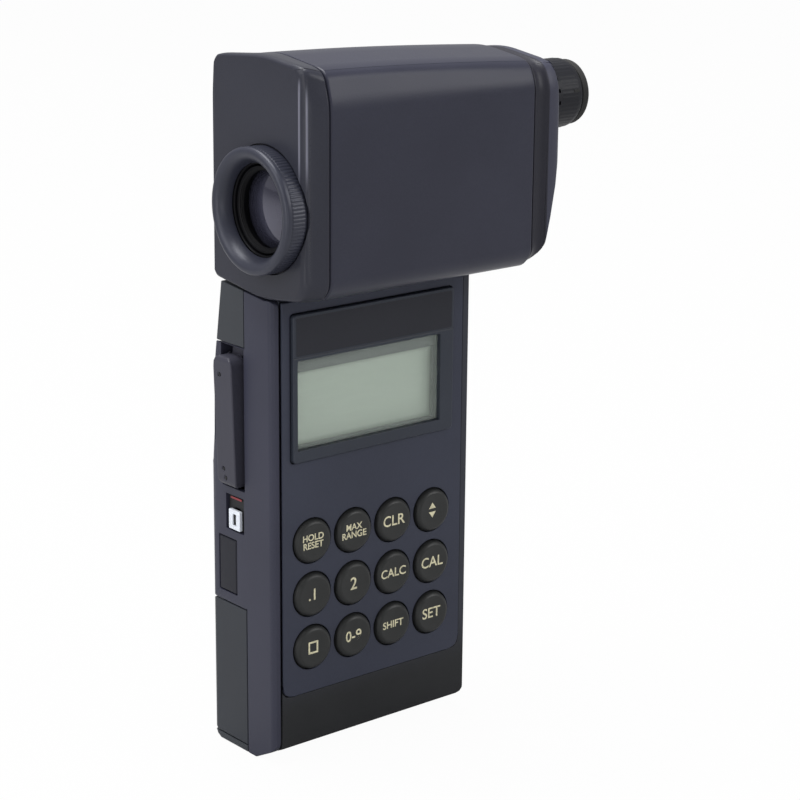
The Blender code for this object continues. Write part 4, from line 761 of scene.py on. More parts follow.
class Bench:
    """Modelling steps made with Blender's own operators."""

    @staticmethod
    def clear() -> None:
        """Leave edit mode and deselect everything."""
        if bpy.context.mode != "OBJECT":
            bpy.ops.object.mode_set(mode="OBJECT")
        bpy.ops.object.select_all(action="DESELECT")

    @classmethod
    def pick(cls, thing: Thing) -> None:
        """Select one object alone and make it active.

        Args:
            thing: The object.
        """
        cls.clear()
        thing.select_set(True)
        bpy.context.view_layer.objects.active = thing

    @classmethod
    def named(cls, name: str) -> Thing:
        """Name the object that an operator has just added and fix its place in its mesh.

        Args:
            name: Its new name.

        Returns:
            The object.
        """
        thing = bpy.context.object
        thing.name = name
        thing.data.name = name
        cls.settle(thing)
        return thing

    @classmethod
    def settle(cls, thing: Thing) -> None:
        """Move an object's place, turn and scale into its mesh."""
        cls.pick(thing)
        bpy.ops.object.transform_apply(location=True, rotation=True, scale=True)

    @classmethod
    def block(cls, name: str, low: Point, high: Point) -> Thing:
        """Add a block between two corners.

        Args:
            name: Name of the piece.
            low: Lowest corner.
            high: Highest corner.

        Returns:
            The block.
        """
        cls.clear()
        centre = tuple((a + b) / 2 for a, b in zip(low, high))
        bpy.ops.mesh.primitive_cube_add(size=1.0, location=centre,
                                        scale=tuple(b - a for a, b in zip(low, high)))
        return cls.named(name)

    @classmethod
    def rod(cls, name: str, radius: float, centre: Point, length: float, axis: str = "X",
            sides: int = 64) -> Thing:
        """Add a round bar.

        Args:
            name: Name of the piece.
            radius: Radius of the bar.
            centre: Middle of the bar.
            length: Length along the axis.
            axis: Letter of the axis.
            sides: Number of flats round it.

        Returns:
            The bar.
        """
        cls.clear()
        turn = {"X": (0.0, math.pi / 2, 0.0), "Y": (math.pi / 2, 0.0, 0.0), "Z": (0.0, 0.0, 0.0)}[axis]
        bpy.ops.mesh.primitive_cylinder_add(vertices=sides, radius=radius, depth=length,
                                            location=centre, rotation=turn)
        return cls.named(name)

    @classmethod
    def loft(cls, name: str, rings: Sequence[Sequence[Point]], closed: bool = False) -> Thing:
        """Bridge rings of equal count into a skin.

        Args:
            name: Name of the piece.
            rings: Rings of points, one after the other.
            closed: Whether the last ring joins the first instead of both ends being filled.

        Returns:
            The piece, with its faces outwards.
        """
        cls.clear()
        count = len(rings[0])
        bpy.ops.mesh.primitive_circle_add(vertices=count, radius=1.0)
        thing = cls.named(name)
        bpy.ops.object.mode_set(mode="EDIT")
        for level in range(1, len(rings)):
            bpy.ops.mesh.primitive_circle_add(vertices=count, radius=1.0, location=(0.0, 0.0, level))
        pairs = [(i, i + 1) for i in range(len(rings) - 1)]
        if closed:
            pairs.append((len(rings) - 1, 0))
        groups = [set(range(i * count, (i + 1) * count)) for i in range(len(rings))]
        for one, other in pairs:
            cls.choose_edges(thing, lambda ids, a=groups[one], b=groups[other]:
                             all(i in a for i in ids) or all(i in b for i in ids))
            bpy.ops.mesh.bridge_edge_loops()
        if not closed:
            for group in (groups[0], groups[-1]):
                cls.choose_edges(thing, lambda ids, a=group: all(i in a for i in ids))
                bpy.ops.mesh.edge_face_add()
        cls.pick(thing)
        for vertex, spot in zip(thing.data.vertices, (spot for ring in rings for spot in ring)):
            vertex.co = spot
        bpy.ops.object.mode_set(mode="EDIT")
        bpy.ops.mesh.select_all(action="SELECT")
        bpy.ops.mesh.normals_make_consistent(inside=False)
        cls.clear()
        return thing

    @classmethod
    def choose_edges(cls, thing: Thing, test: Callable[[Sequence[int]], bool]) -> None:
        """Select the edges whose vertex numbers pass a test, in edit mode.

        Args:
            thing: The object.
            test: Tells from an edge's two vertex numbers whether it is selected.
        """
        cls.pick(thing)
        mesh = thing.data
        bpy.context.tool_settings.mesh_select_mode = (False, True, False)
        mesh.polygons.foreach_set("select", [False] * len(mesh.polygons))
        mesh.vertices.foreach_set("select", [False] * len(mesh.vertices))
        mesh.edges.foreach_set("select", [test(edge.vertices) for edge in mesh.edges])
        bpy.ops.object.mode_set(mode="EDIT")

    @classmethod
    def prism(cls, name: str, outline: Sequence[Spot], axis: str, start: float, end: float) -> Thing:
        """Extrude an outline along an axis.

        Args:
            name: Name of the piece.
            outline: Corners as pairs of the two other coordinates, in their own order.
            axis: Letter of the axis.
            start: Place of the first end.
            end: Place of the second end.

        Returns:
            The closed piece.
        """
        cls.clear()
        bpy.ops.mesh.primitive_circle_add(vertices=len(outline), radius=1.0, fill_type="NGON")
        thing = cls.named(name)
        for vertex, (first, second) in zip(thing.data.vertices, outline):
            vertex.co = {"X": (start, first, second), "Y": (first, start, second),
                         "Z": (first, second, start)}[axis]
        reach = end - start
        step = {"X": (reach, 0, 0), "Y": (0, reach, 0), "Z": (0, 0, reach)}[axis]
        bpy.ops.object.mode_set(mode="EDIT")
        bpy.ops.mesh.select_all(action="SELECT")
        bpy.ops.mesh.extrude_region_move(TRANSFORM_OT_translate={"value": step})
        bpy.ops.mesh.select_all(action="SELECT")
        bpy.ops.mesh.normals_make_consistent(inside=False)
        cls.clear()
        return thing

    @classmethod
    def spun(cls, name: str, profile: Sequence[Spot], centre: Spot, sides: int = 96,
             axis: str = "X") -> Thing:
        """Spin a closed profile round a line.

        Args:
            name: Name of the piece.
            profile: Pairs of radius and place along the line, going round the section.
            centre: The line's two other coordinates.
            sides: Number of steps round.
            axis: X or Y, the letter of the line's axis.

        Returns:
            The closed piece.
        """
        cls.clear()
        bpy.ops.mesh.primitive_circle_add(vertices=len(profile), radius=1.0)
        thing = cls.named(name)
        for vertex, (radius, along) in zip(thing.data.vertices, profile):
            vertex.co = ((along, centre[0] + radius, centre[1]) if axis == "X"
                         else (centre[0] + radius, along, centre[1]))
        middle = (0.0, *centre) if axis == "X" else (centre[0], 0.0, centre[1])
        line = (1.0, 0.0, 0.0) if axis == "X" else (0.0, 1.0, 0.0)
        bpy.ops.object.mode_set(mode="EDIT")
        bpy.ops.mesh.select_all(action="SELECT")
        bpy.ops.mesh.spin(steps=sides, angle=math.tau, center=middle, axis=line)
        bpy.ops.mesh.select_all(action="SELECT")
        bpy.ops.mesh.remove_doubles(threshold=MERGE)
        bpy.ops.mesh.delete_loose()
        bpy.ops.mesh.select_all(action="SELECT")
        bpy.ops.mesh.normals_make_consistent(inside=False)
        cls.clear()
        return thing

    @classmethod
    def lens(cls, name: str, centre: Spot, radius: float, sag: float, poles: Spot, steps: int,
             sides: int) -> Thing:
        """Spin a glass whose two faces both bulge outwards.

        Args:
            name: Name of the piece.
            centre: Y and Z of its axis.
            radius: Radius of its rim.
            sag: Depth of each face's curve.
            poles: Places of the two faces' middles along X.
            steps: Steps from a face's middle to its rim.
            sides: Number of steps round.

        Returns:
            The shaded glass.
        """
        front, back = poles
        face = [(radius * k / steps, front + sag * (k / steps) ** 2) for k in range(steps + 1)]
        face += [(radius * k / steps, back - sag * (k / steps) ** 2) for k in range(steps, -1, -1)]
        glass = cls.spun(name, face, centre, sides)
        cls.shade(glass, LATHE_ANGLE)
        return glass

    @classmethod
    def toothed(cls, name: str, rows: Sequence[Point], centre: Spot, count: int,
                depths: Depths) -> Thing:
        """Loft a ring round a line along X, with teeth cut round it.

        Args:
            name: Name of the piece.
            rows: Place along X, radius and share of the full tooth, going round the section.
            centre: The line's Y and Z.
            count: Number of teeth.
            depths: Depths along one tooth, in millimetres.

        Returns:
            The closed ring.
        """
        steps = count * len(depths)
        rings = []
        for along, reach, share in rows:
            spots = []
            for index in range(steps):
                angle = math.tau * index / steps
                tooth = depths[index % len(depths)] * MM * share
                spots.append((along, centre[0] + (reach - tooth) * math.cos(angle),
                              centre[1] + (reach - tooth) * math.sin(angle)))
            rings.append(spots)
        return cls.loft(name, rings, closed=True)

    @staticmethod
    def stand(thing: Thing, along: float, centre: Spot, reach: float, angle: float) -> Thing:
        """Turn a piece round X and set it on a ring.

        Args:
            thing: The piece, modelled round the origin with its outer side towards +Y.
            along: How far it moves along X.
            centre: Y and Z of the ring's axis.
            reach: Radius of the ring.
            angle: Its place round the ring.

        Returns:
            The piece.
        """
        thing.data.transform(Matrix.Rotation(angle, 4, "X"))
        thing.data.transform(Matrix.Translation((along, centre[0] + reach * math.cos(angle),
                                                 centre[1] + reach * math.sin(angle))))
        return thing

    @classmethod
    def apply(cls, thing: Thing, kind: str, **settings: object) -> None:
        """Add a modifier with settings and apply it.

        Args:
            thing: The object.
            kind: Blender's name of the modifier type.
            settings: Values of its properties.
        """
        cls.pick(thing)
        change = thing.modifiers.new(kind.lower(), kind)
        for key, value in settings.items():
            setattr(change, key, value)
        bpy.ops.object.modifier_apply(modifier=change.name)

    @classmethod
    def cut(cls, target: Thing, *tools: Thing, operation: str = "DIFFERENCE",
            solver: str = "EXACT") -> Thing:
        """Cut or join solids with the target at an enlarged scale and remove them.

        Args:
            target: Piece that is changed.
            tools: Solids that are used up.
            operation: Boolean operation.
            solver: Method that finds the cut.

        Returns:
            The target.
        """
        for tool in tools:
            for thing in (target, tool):
                cls.split(thing)
                thing.data.transform(Matrix.Scale(WORK_SCALE, 4))
            cls.apply(target, "BOOLEAN", operation=operation, solver=solver, object=tool)
            target.data.transform(Matrix.Scale(1 / WORK_SCALE, 4))
            bpy.data.objects.remove(tool, do_unlink=True)
        cls.clean(target)
        return target

    @classmethod
    def clean(cls, thing: Thing, angle: float = 0.05) -> None:
        """Merge doubles and dissolve flat seams.

        Args:
            thing: The object.
            angle: Seams flatter than this many degrees go.
        """
        cls.pick(thing)
        bpy.ops.object.mode_set(mode="EDIT")
        bpy.ops.mesh.select_all(action="SELECT")
        bpy.ops.mesh.remove_doubles(threshold=MERGE)
        bpy.ops.mesh.select_all(action="SELECT")
        bpy.ops.mesh.dissolve_limited(angle_limit=math.radians(angle))
        cls.clear()

    @classmethod
    def split(cls, thing: Thing) -> None:
        """Split every face into triangles.

        Args:
            thing: The object.
        """
        cls.pick(thing)
        bpy.ops.object.mode_set(mode="EDIT")
        bpy.ops.mesh.select_all(action="SELECT")
        bpy.ops.mesh.quads_convert_to_tris()
        cls.clear()

    @classmethod
    def soften(cls, thing: Thing, width: float, segments: int = 2, angle: float = 25.0) -> None:
        """Round the sharp edges of a piece and shade it.

        Args:
            thing: Piece to round.
            width: Width of the rounding.
            segments: Number of steps across it.
            angle: Edges sharper than this many degrees are rounded.
        """
        cls.apply(thing, "BEVEL", width=width, segments=segments, limit_method="ANGLE",
                  angle_limit=math.radians(angle), use_clamp_overlap=False, harden_normals=False,
                  miter_outer="MITER_ARC")
        cls.shade(thing)

    @classmethod
    def shade(cls, thing: Thing, angle: float = 40.0) -> None:
        """Shade a piece smooth up to an angle and keep its flats flat.

        Args:
            thing: The object.
            angle: Edges sharper than this many degrees stay sharp.
        """
        cls.pick(thing)
        bpy.ops.object.shade_smooth_by_angle(angle=math.radians(angle))
        cls.apply(thing, "WEIGHTED_NORMAL", keep_sharp=True, weight=90)

    @classmethod
    def copy_of(cls, node: str, name: str) -> Thing:
        """Copy a solid of the frame as a free piece with merged faces.

        Args:
            node: Name of the solid.
            name: Name of the piece.

        Returns:
            The piece.
        """
        twin = cls.copy(frame["nodes"][node], name)
        twin.parent = None
        for key in list(twin.keys()):
            if key.startswith("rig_"):
                del twin[key]
        cls.clean(twin)
        return twin

    @classmethod
    def copy(cls, thing: Thing, name: str) -> Thing:
        """Copy a piece with its own mesh.

        Args:
            thing: The piece.
            name: Name of the copy.

        Returns:
            The copy.
        """
        cls.pick(thing)
        bpy.ops.object.duplicate(linked=False)
        twin = bpy.context.object
        twin.name = name
        twin.data.name = name
        return twin


def fillet(points: Sequence[Spot], radii: float | Sequence[float], steps: int = 6) -> list[Spot]:
    """Round the corners of an outline.

    Args:
        points: Corners in order.
        radii: One reach for all corners, or one for each.
        steps: Number of steps in each corner.

    Returns:
        The rounded outline.
    """
    outline: list[Spot] = []
    for index, corner in enumerate(points):
        radius = radii if isinstance(radii, float) else radii[index]
        here = Vector(corner)
        if radius <= 0:
            outline.append(tuple(here))
            continue
        start = here + (Vector(points[index - 1]) - here).normalized() * radius
        end = here + (Vector(points[(index + 1) % len(points)]) - here).normalized() * radius
        for step in range(steps + 1):
            t = step / steps
            outline.append(tuple(start * (1 - t) ** 2 + here * 2 * t * (1 - t) + end * t ** 2))
    return outline


def rectangle(left: float, right: float, low: float, high: float, radius: float,
              steps: int = 6) -> list[Spot]:
    """Give a rectangle's outline with rounded corners."""
    return fillet([(left, low), (right, low), (right, high), (left, high)], radius, steps)


class Workshop:
    """Hands finished pieces to the model and logs them."""

    def __init__(self) -> None:
        """Look up which body each solid rides on."""
        bodies = frame["record"]["behaviour"]["bodies"]
        self.body_of = {node: body for body, nodes in bodies.items() for node in nodes}

    def deliver(self, thing: Thing, finish: Finish, slot: Slot, body: str = "housing",
                replaces: Sequence[str] = ()) -> Thing:
        """Dress a new piece and put it on its body.

        Args:
            thing: The piece, in place.
            finish: What it is made of.
            slot: Record slot of its finish; not used.
            body: Body that it rides on.
            replaces: Solids that it stands for.

        Returns:
            The piece.
        """
        Bench.settle(thing)
        thing.data.materials.clear()
        thing.data.materials.append(finish.material())
        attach(thing, body)
        nodes = tuple(replaces)
        if nodes:
            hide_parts(*nodes)
        log.info("piece %s on %s, %d faces", thing.name, body, len(thing.data.polygons))
        return thing

    def dress(self, node: str, finish: Finish) -> None:
        """Give a solid that stays its finish.

        Args:
            node: Name of the solid.
            finish: What it is made of.
        """
        thing = frame["nodes"][node]
        if not thing.data.materials:
            thing.data.materials.append(finish.material())
        for holder in thing.material_slots:
            holder.material = finish.material()
        log.info("solid %s in %s", node, finish.name)

    def refine(self, node: str, finish: Finish, slot: Slot, edge: float, segments: int = 2) -> None:
        """Replace a solid by a copy with merged faces and softened edges.

        Args:
            node: Name of the solid.
            finish: What the copy is made of.
            slot: Record slot of its finish.
            edge: Width of the softened edges.
            segments: Steps across each edge.
        """
        twin = Bench.copy_of(node, node + "_shell")
        Bench.soften(twin, edge, segments, SHELL_ANGLE)
        self.deliver(twin, finish, slot, self.body_of[node], [node])


@dataclass
class Palette:
    """The finishes of the meter."""

    navy: Finish = SatinPaint("navy_paint", (48, 49, 61), 0.34)
    # paint of the front moulding, with painted highlight lines along its near edge
    front: Finish = EdgeHighlightPaint("front_navy_paint", (46, 47, 56), 0.34)
    shell: Finish = ShellPaint("grip_paint", (50, 51, 64), 0.38)
    panel: Finish = SatinPaint("navy_panel_paint", (50, 53, 66), 0.4, 0.012)
    header: Finish = SatinPaint("header_film", (36, 37, 44), 0.34, 0.008)
    dark_navy: Finish = CapPaint("dark_navy_paint", (38, 38, 46), 0.4)
    grey: Finish = SatinPaint("slate_paint", (45, 48, 54), 0.4)
    lever: Finish = SatinPaint("lever_paint", (56, 56, 66), 0.4)
    door: Finish = SatinPaint("door_paint", (28, 29, 37))
    black: Finish = MouldedPlastic("black_moulding", (34, 35, 37))
    cover: Finish = CoverPlastic("cover_moulding", (34, 35, 37))
    bezel: Finish = SatinPaint("bezel_paint", (47, 51, 60), 0.38, 0.012)
    key: Finish = KeyPlastic("key_plastic", (33, 34, 34))
    ink: Finish = PrintedInk("gold_ink", (206, 200, 168))
    rubber: Finish = Rubber("black_rubber", (18, 18, 20))
    pane: Finish = ClearPane("clear_pane", (200, 212, 202))
    display: Finish = DisplayFilm("display_film", (160, 172, 160))
    white: Finish = MouldedPlastic("white_moulding", (214, 219, 228), 0.42, 0.01)
    red: Finish = PrintedInk("red_ink", (132, 44, 50))
    ring: Finish = TurnedMetal("ring_anodised", (45, 47, 59), 0.15, 0.4)
    barrel: Finish = TurnedMetal("barrel_black", (14, 14, 17), 0.0, 0.5, 0.1)
    lens: Finish = CoatedGlass("objective_glass", (58, 59, 64))
    eye_glass: Finish = CoatedGlass("eyepiece_glass", (40, 44, 52), EYE_AXIS, 0.0066)
    dioptre: Finish = MouldedPlastic("dioptre_moulding", (23, 24, 30))
    mirror: Finish = MirrorCoat("mirror_film", (200, 204, 208))
    steel: Finish = SheetMetal("dark_plated_steel", (96, 98, 102))
    nickel: Finish = SheetMetal("nickel_sheet", (190, 188, 180), 1.0, 0.28)
    chassis: Finish = SheetMetal("black_chassis", (52, 53, 56), 0.6, 0.45)
    board: Finish = BoardLacquer("board_lacquer", (38, 84, 58))
    cell: Finish = PrintedSleeve("cell_sleeve_print", (112, 118, 128))


@dataclass
class Head:
    """Optical head: front moulding, long shell and rear cap."""

    shop: Workshop
    looks: Palette
    centre: float = -0.0113
    floor: float = 0.1365
    top: float = 0.2030
    near: float = 0.0220
    far: float = 0.0228
    rise: float = 0.0020
    chamfer: Spot = (0.0034, 0.0038)
    far_chamfer: float = 0.0010
    flare: float = 0.0008
    facet: Spot = (0.0024, 0.0116)
    edge_drop: float = 0.0036
    edge_width: float = 0.0032
    crown_drop: float = 0.0023
    side_round: float = 2.2 * MM
    fold_round: float = 2.6 * MM
    crown_round: float = 5.0 * MM
    left: float = -0.0363
    parting: float = -0.0297
    body_end: float = 0.0430
    rear: float = 0.0535
    gap: float = 0.00015
    fall: float = 0.0030
    inset: float = 0.25 * MM
    near_inset: float = 0.3 * MM
    base_inset: float = 0.2 * MM
    half_room: float = 0.0200
    cap_half_room: float = 0.0191
    keel: float = 4.4 * MM
    room_fillet: float = 2.0 * MM
    room_shoulder: float = 5.4 * MM
    room_lift: float = 10.8 * MM
    ceiling_drop: float = 5.6 * MM
    cap_ceiling_drop: float = 9.0 * MM
    recess_radius: float = 17.6 * MM
    recess_length: float = 4.0 * MM
    bore_radius: float = 13.9 * MM
    bolt_radius: float = 2.8 * MM
    bolt_depth: float = 2.4 * MM
    eye_bore_radius: float = 8.5 * MM
    waist_length: float = 5.0 * MM
    waist_depth: float = 0.95 * MM
    knee: float = 31.5 * MM
    heel: float = 6.6 * MM
    slant: float = 5.6 * MM
    cap_wall: float = 2.0 * MM
    past: float = 2.0 * MM
    half_span: float = 0.04

    def outline(self, near: float, far: float, top: float, floor: float, fall: float = 0.0,
                lean: float = 1.0) -> list[Spot]:
        """Give a cross-section of the head.

        Args:
            near: Reach towards the keypad's side.
            far: Reach towards the back.
            top: Height of the crown.
            floor: Height of the keel.
            fall: How far the crown has fallen, which the side's fold doesn't follow.
            lean: Share of the full folds, towards the parting.

        Returns:
            Rounded outline in Y and Z.
        """
        foot = near - self.chamfer[0]
        low = floor + self.rise
        far_low = floor + self.rise * (far - self.far_chamfer) / foot
        fold, lift = self.facet[0] * lean, self.facet[1]
        drop = 0.4 + 0.6 * lean
        edge, crown = self.edge_drop * drop, self.crown_drop * drop
        corners = [(0.0, floor), (far - self.far_chamfer, far_low), (far, far_low + self.far_chamfer),
                   (far - self.flare * lean, top - lift + fall),
                   (far - self.flare * lean - fold, top - edge),
                   (far - self.flare * lean - fold - self.edge_width, top - crown), (0.0, top),
                   (self.edge_width + fold - near, top - crown),
                   (fold - near, top - edge), (-near, top - lift + fall),
                   (-near, low + self.chamfer[1]), (-foot, low)]
        reach = [self.side_round] * len(corners)
        reach[1] = reach[2] = self.far_chamfer / 2
        reach[6] = reach[0] = self.crown_round
        reach[9] = self.fold_round
        return [(self.centre + u, z) for u, z in fillet(corners, reach)]

    def ring(self, x: float, near: float, far: float, top: float, floor: float = 0.0,
             fall: float = 0.0, lean: float = 1.0) -> list[Point]:
        """Give a cross-section as points.

        Args:
            x: Place along the head.
            near: Change of the reach towards the keypad's side.
            far: Change of the reach towards the back.
            top: Change of the crown's height.
            floor: Change of the keel's height.
            fall: How far the crown has fallen.
            lean: Share of the full folds.

        Returns:
            The ring's points.
        """
        spots = self.outline(self.near + near, self.far + far, self.top + top, self.floor + floor,
                             fall, lean)
        return [(x, y, z) for y, z in spots]

    def end_ring(self, x: float, fall: float = 0.0) -> list[Point]:
        """Give the drawn-in cross-section where two casings part."""
        return self.ring(x, -self.near_inset, -self.inset, -fall - self.inset, self.base_inset, fall)

    def room(self, name: str, start: float, end: float, half: float, ceiling: float) -> Thing:
        """Give the solid that clears a shell's inside.

        Args:
            name: Name of the solid.
            start: Its first end along X.
            end: Its last end along X.
            half: Half its width.
            ceiling: Height of its top.

        Returns:
            The solid.
        """
        floor = self.floor + self.keel
        foot, crown = half - self.room_fillet, half - self.room_shoulder
        shoulder = ceiling - self.room_lift
        outline = [(-foot, floor), (foot, floor), (half, floor + self.room_fillet), (half, shoulder),
                   (crown, ceiling), (-crown, ceiling), (-half, shoulder),
                   (-half, floor + self.room_fillet)]
        return Bench.prism(name, [(self.centre + u, z) for u, z in outline], "X", start, end)

    def build_front(self) -> None:
        """Build the front moulding with its recess for the focus ring."""
        x = self.left
        full = self.parting - self.gap
        lip = [(0.0, -5.0, -1.0, -1.1, 0.6, 0.3), (0.35, -4.0, -0.8, -0.6, 0.25, 0.32),
               (0.8, -2.75, -0.72, -0.3, 0.1, 0.36), (1.5, -2.25, -0.7, -0.08, 0.0, 0.42),
               (2.3, -1.8, -0.6, 0.0, 0.0, 0.5)]
        rings = [self.ring(x + along * MM, near * MM, far * MM, top * MM, floor * MM, lean=lean)
                 for along, near, far, top, floor, lean in lip]
        rings += [self.ring((x + full) / 2 + 1.2 * MM, -0.75 * MM, -0.2 * MM, 0.0, lean=0.8),
                  self.ring(full - 0.5 * MM, -0.05 * MM, 0.0, 0.0), self.end_ring(full)]
        front = Bench.loft("head_front_moulding", rings)
        wall = 3.0 * MM
        Bench.cut(front, self.room("room", x + wall, full + self.past, self.half_room,
                                   self.top - self.ceiling_drop),
                  Bench.rod("recess", self.recess_radius, (x - 0.5 * MM, *LENS_AXIS),
                            self.recess_length),
                  Bench.rod("bore", self.bore_radius, (x, *LENS_AXIS), 20.0 * MM))
        Bench.soften(front, 0.15 * MM, 2, 50.0)
        self.shop.deliver(front, self.looks.front, Slot.NAVY_SHELL, replaces=["head_front"])

    def build_body(self) -> None:
        """Build the long shell whose crown falls towards the eyepiece."""
        start, end = self.parting + self.gap, self.body_end - self.gap
        edge, both_edges = 0.45 * MM, 0.9 * MM
        rings = [self.end_ring(start)]
        steps = 12
        for step in range(steps + 1):
            share = step / steps
            x = start + edge + (end - start - both_edges) * share
            down = self.fall * share ** 1.6
            rings.append(self.ring(x, 0.0, 0.0, -down, 0.0, down))
        rings.append(self.end_ring(end, self.fall))
        body = Bench.loft("head_body_shell", rings)
        Bench.cut(body, self.room("room", start - self.past, end + self.past, self.half_room,
                                  self.top - self.fall - self.ceiling_drop),
                  Bench.rod("bolt_way", self.bolt_radius,
                            (0.0, self.bolt_depth, self.floor + 4.0 * MM), 12.0 * MM, "Z"))
        Bench.soften(body, 0.25 * MM, 2, 24.0)
        self.shop.deliver(body, self.looks.navy, Slot.NAVY_SHELL, replaces=["head_body"])

    def cap_rings(self, start: float) -> list[list[Point]]:
        """Give the rear cap's cross-sections, from its hollow waist to its rounded rim.

        Args:
            start: Place of the cap's front end.

        Returns:
            The rings in order.
        """
        waist = start + self.waist_length
        rings = [self.ring(start, -0.35 * MM, -0.35 * MM, -self.fall - 0.35 * MM, 0.3 * MM, self.fall)]
        steps = 8
        for step in range(steps + 1):
            share = step / steps
            x = start + 0.5 * MM + (waist - start - 1.0 * MM) * share
            hollow = -self.waist_depth * math.sin(math.pi * (0.12 + 0.76 * share)) ** 0.7
            rings.append(self.ring(x, hollow, hollow, -self.fall - 0.6 * MM * share + hollow,
                                   -hollow, self.fall))
        rim = [(waist, -0.1, -0.9, 0.0), (waist + 1.6 * MM, 0.0, -0.85, 0.0),
               (self.rear - 1.8 * MM, -0.3, -1.0, 0.0), (self.rear - 0.7 * MM, -0.9, -1.4, 0.2),
               (self.rear, -2.0, -2.3, 0.8)]
        for x, side, top, floor in rim:
            rings.append(self.ring(x, side * MM, side * MM, -self.fall + top * MM, floor * MM,
                                   self.fall))
        return rings

    def build_rear(self) -> None:
        """Build the rear cap: a narrow dark waist, then the rim with its drawn-in heel."""
        start = self.body_end + self.gap
        cap = Bench.loft("rear_cap_moulding", self.cap_rings(start))
        knee, heel = self.floor + self.knee, self.floor + self.heel
        slant, toe = self.rear - self.slant, self.rear - self.slant - 4.0 * MM
        away, under, crest = self.rear + 20.0 * MM, self.floor - 4.0 * MM, self.top + 5.0 * MM
        bow = [(self.rear - back * MM, EYE_AXIS[1] + up * MM)
               for back, up in ((2.4, 15.0), (1.4, 9.0), (0.7, 2.0), (0.25, -5.0))]
        corners = [(away, crest), (self.rear - 3.4 * MM, crest), *bow,
                   (self.rear + 0.2 * MM, knee + 2.0 * MM), (slant, heel),
                   (toe, self.floor + 1.0 * MM), (toe, under), (away, under)]
        line = fillet(corners, [0.0] * 6 + [7.0 * MM, 4.5 * MM, 0.0, 0.0, 0.0])
        near, far = self.centre - self.half_span, self.centre + self.half_span
        Bench.cut(cap, Bench.prism("heel", line, "Y", near, far), solver="MANIFOLD")
        ground, wall = self.floor + 2.4 * MM, self.cap_wall
        inner = [(start - self.past, ground), (slant - 4.6 * MM, ground),
                 (slant - wall, heel + wall), (self.rear - wall, knee + 3.0 * MM),
                 (self.rear - wall, self.top), (start - self.past, self.top)]
        room = Bench.prism("room", inner, "Y", near, far)
        Bench.cut(room, self.room("limits", start - 2 * self.past, self.rear, self.cap_half_room,
                                  self.top - self.cap_ceiling_drop), operation="INTERSECT")
        Bench.cut(cap, room, Bench.rod("eye_bore", self.eye_bore_radius, (self.rear, *EYE_AXIS),
                                       12.0 * MM))
        Bench.soften(cap, 0.3 * MM, 2, 45.0)
        self.shop.deliver(cap, self.looks.dark_navy, Slot.NAVY_DARK, replaces=["rear_cap"])


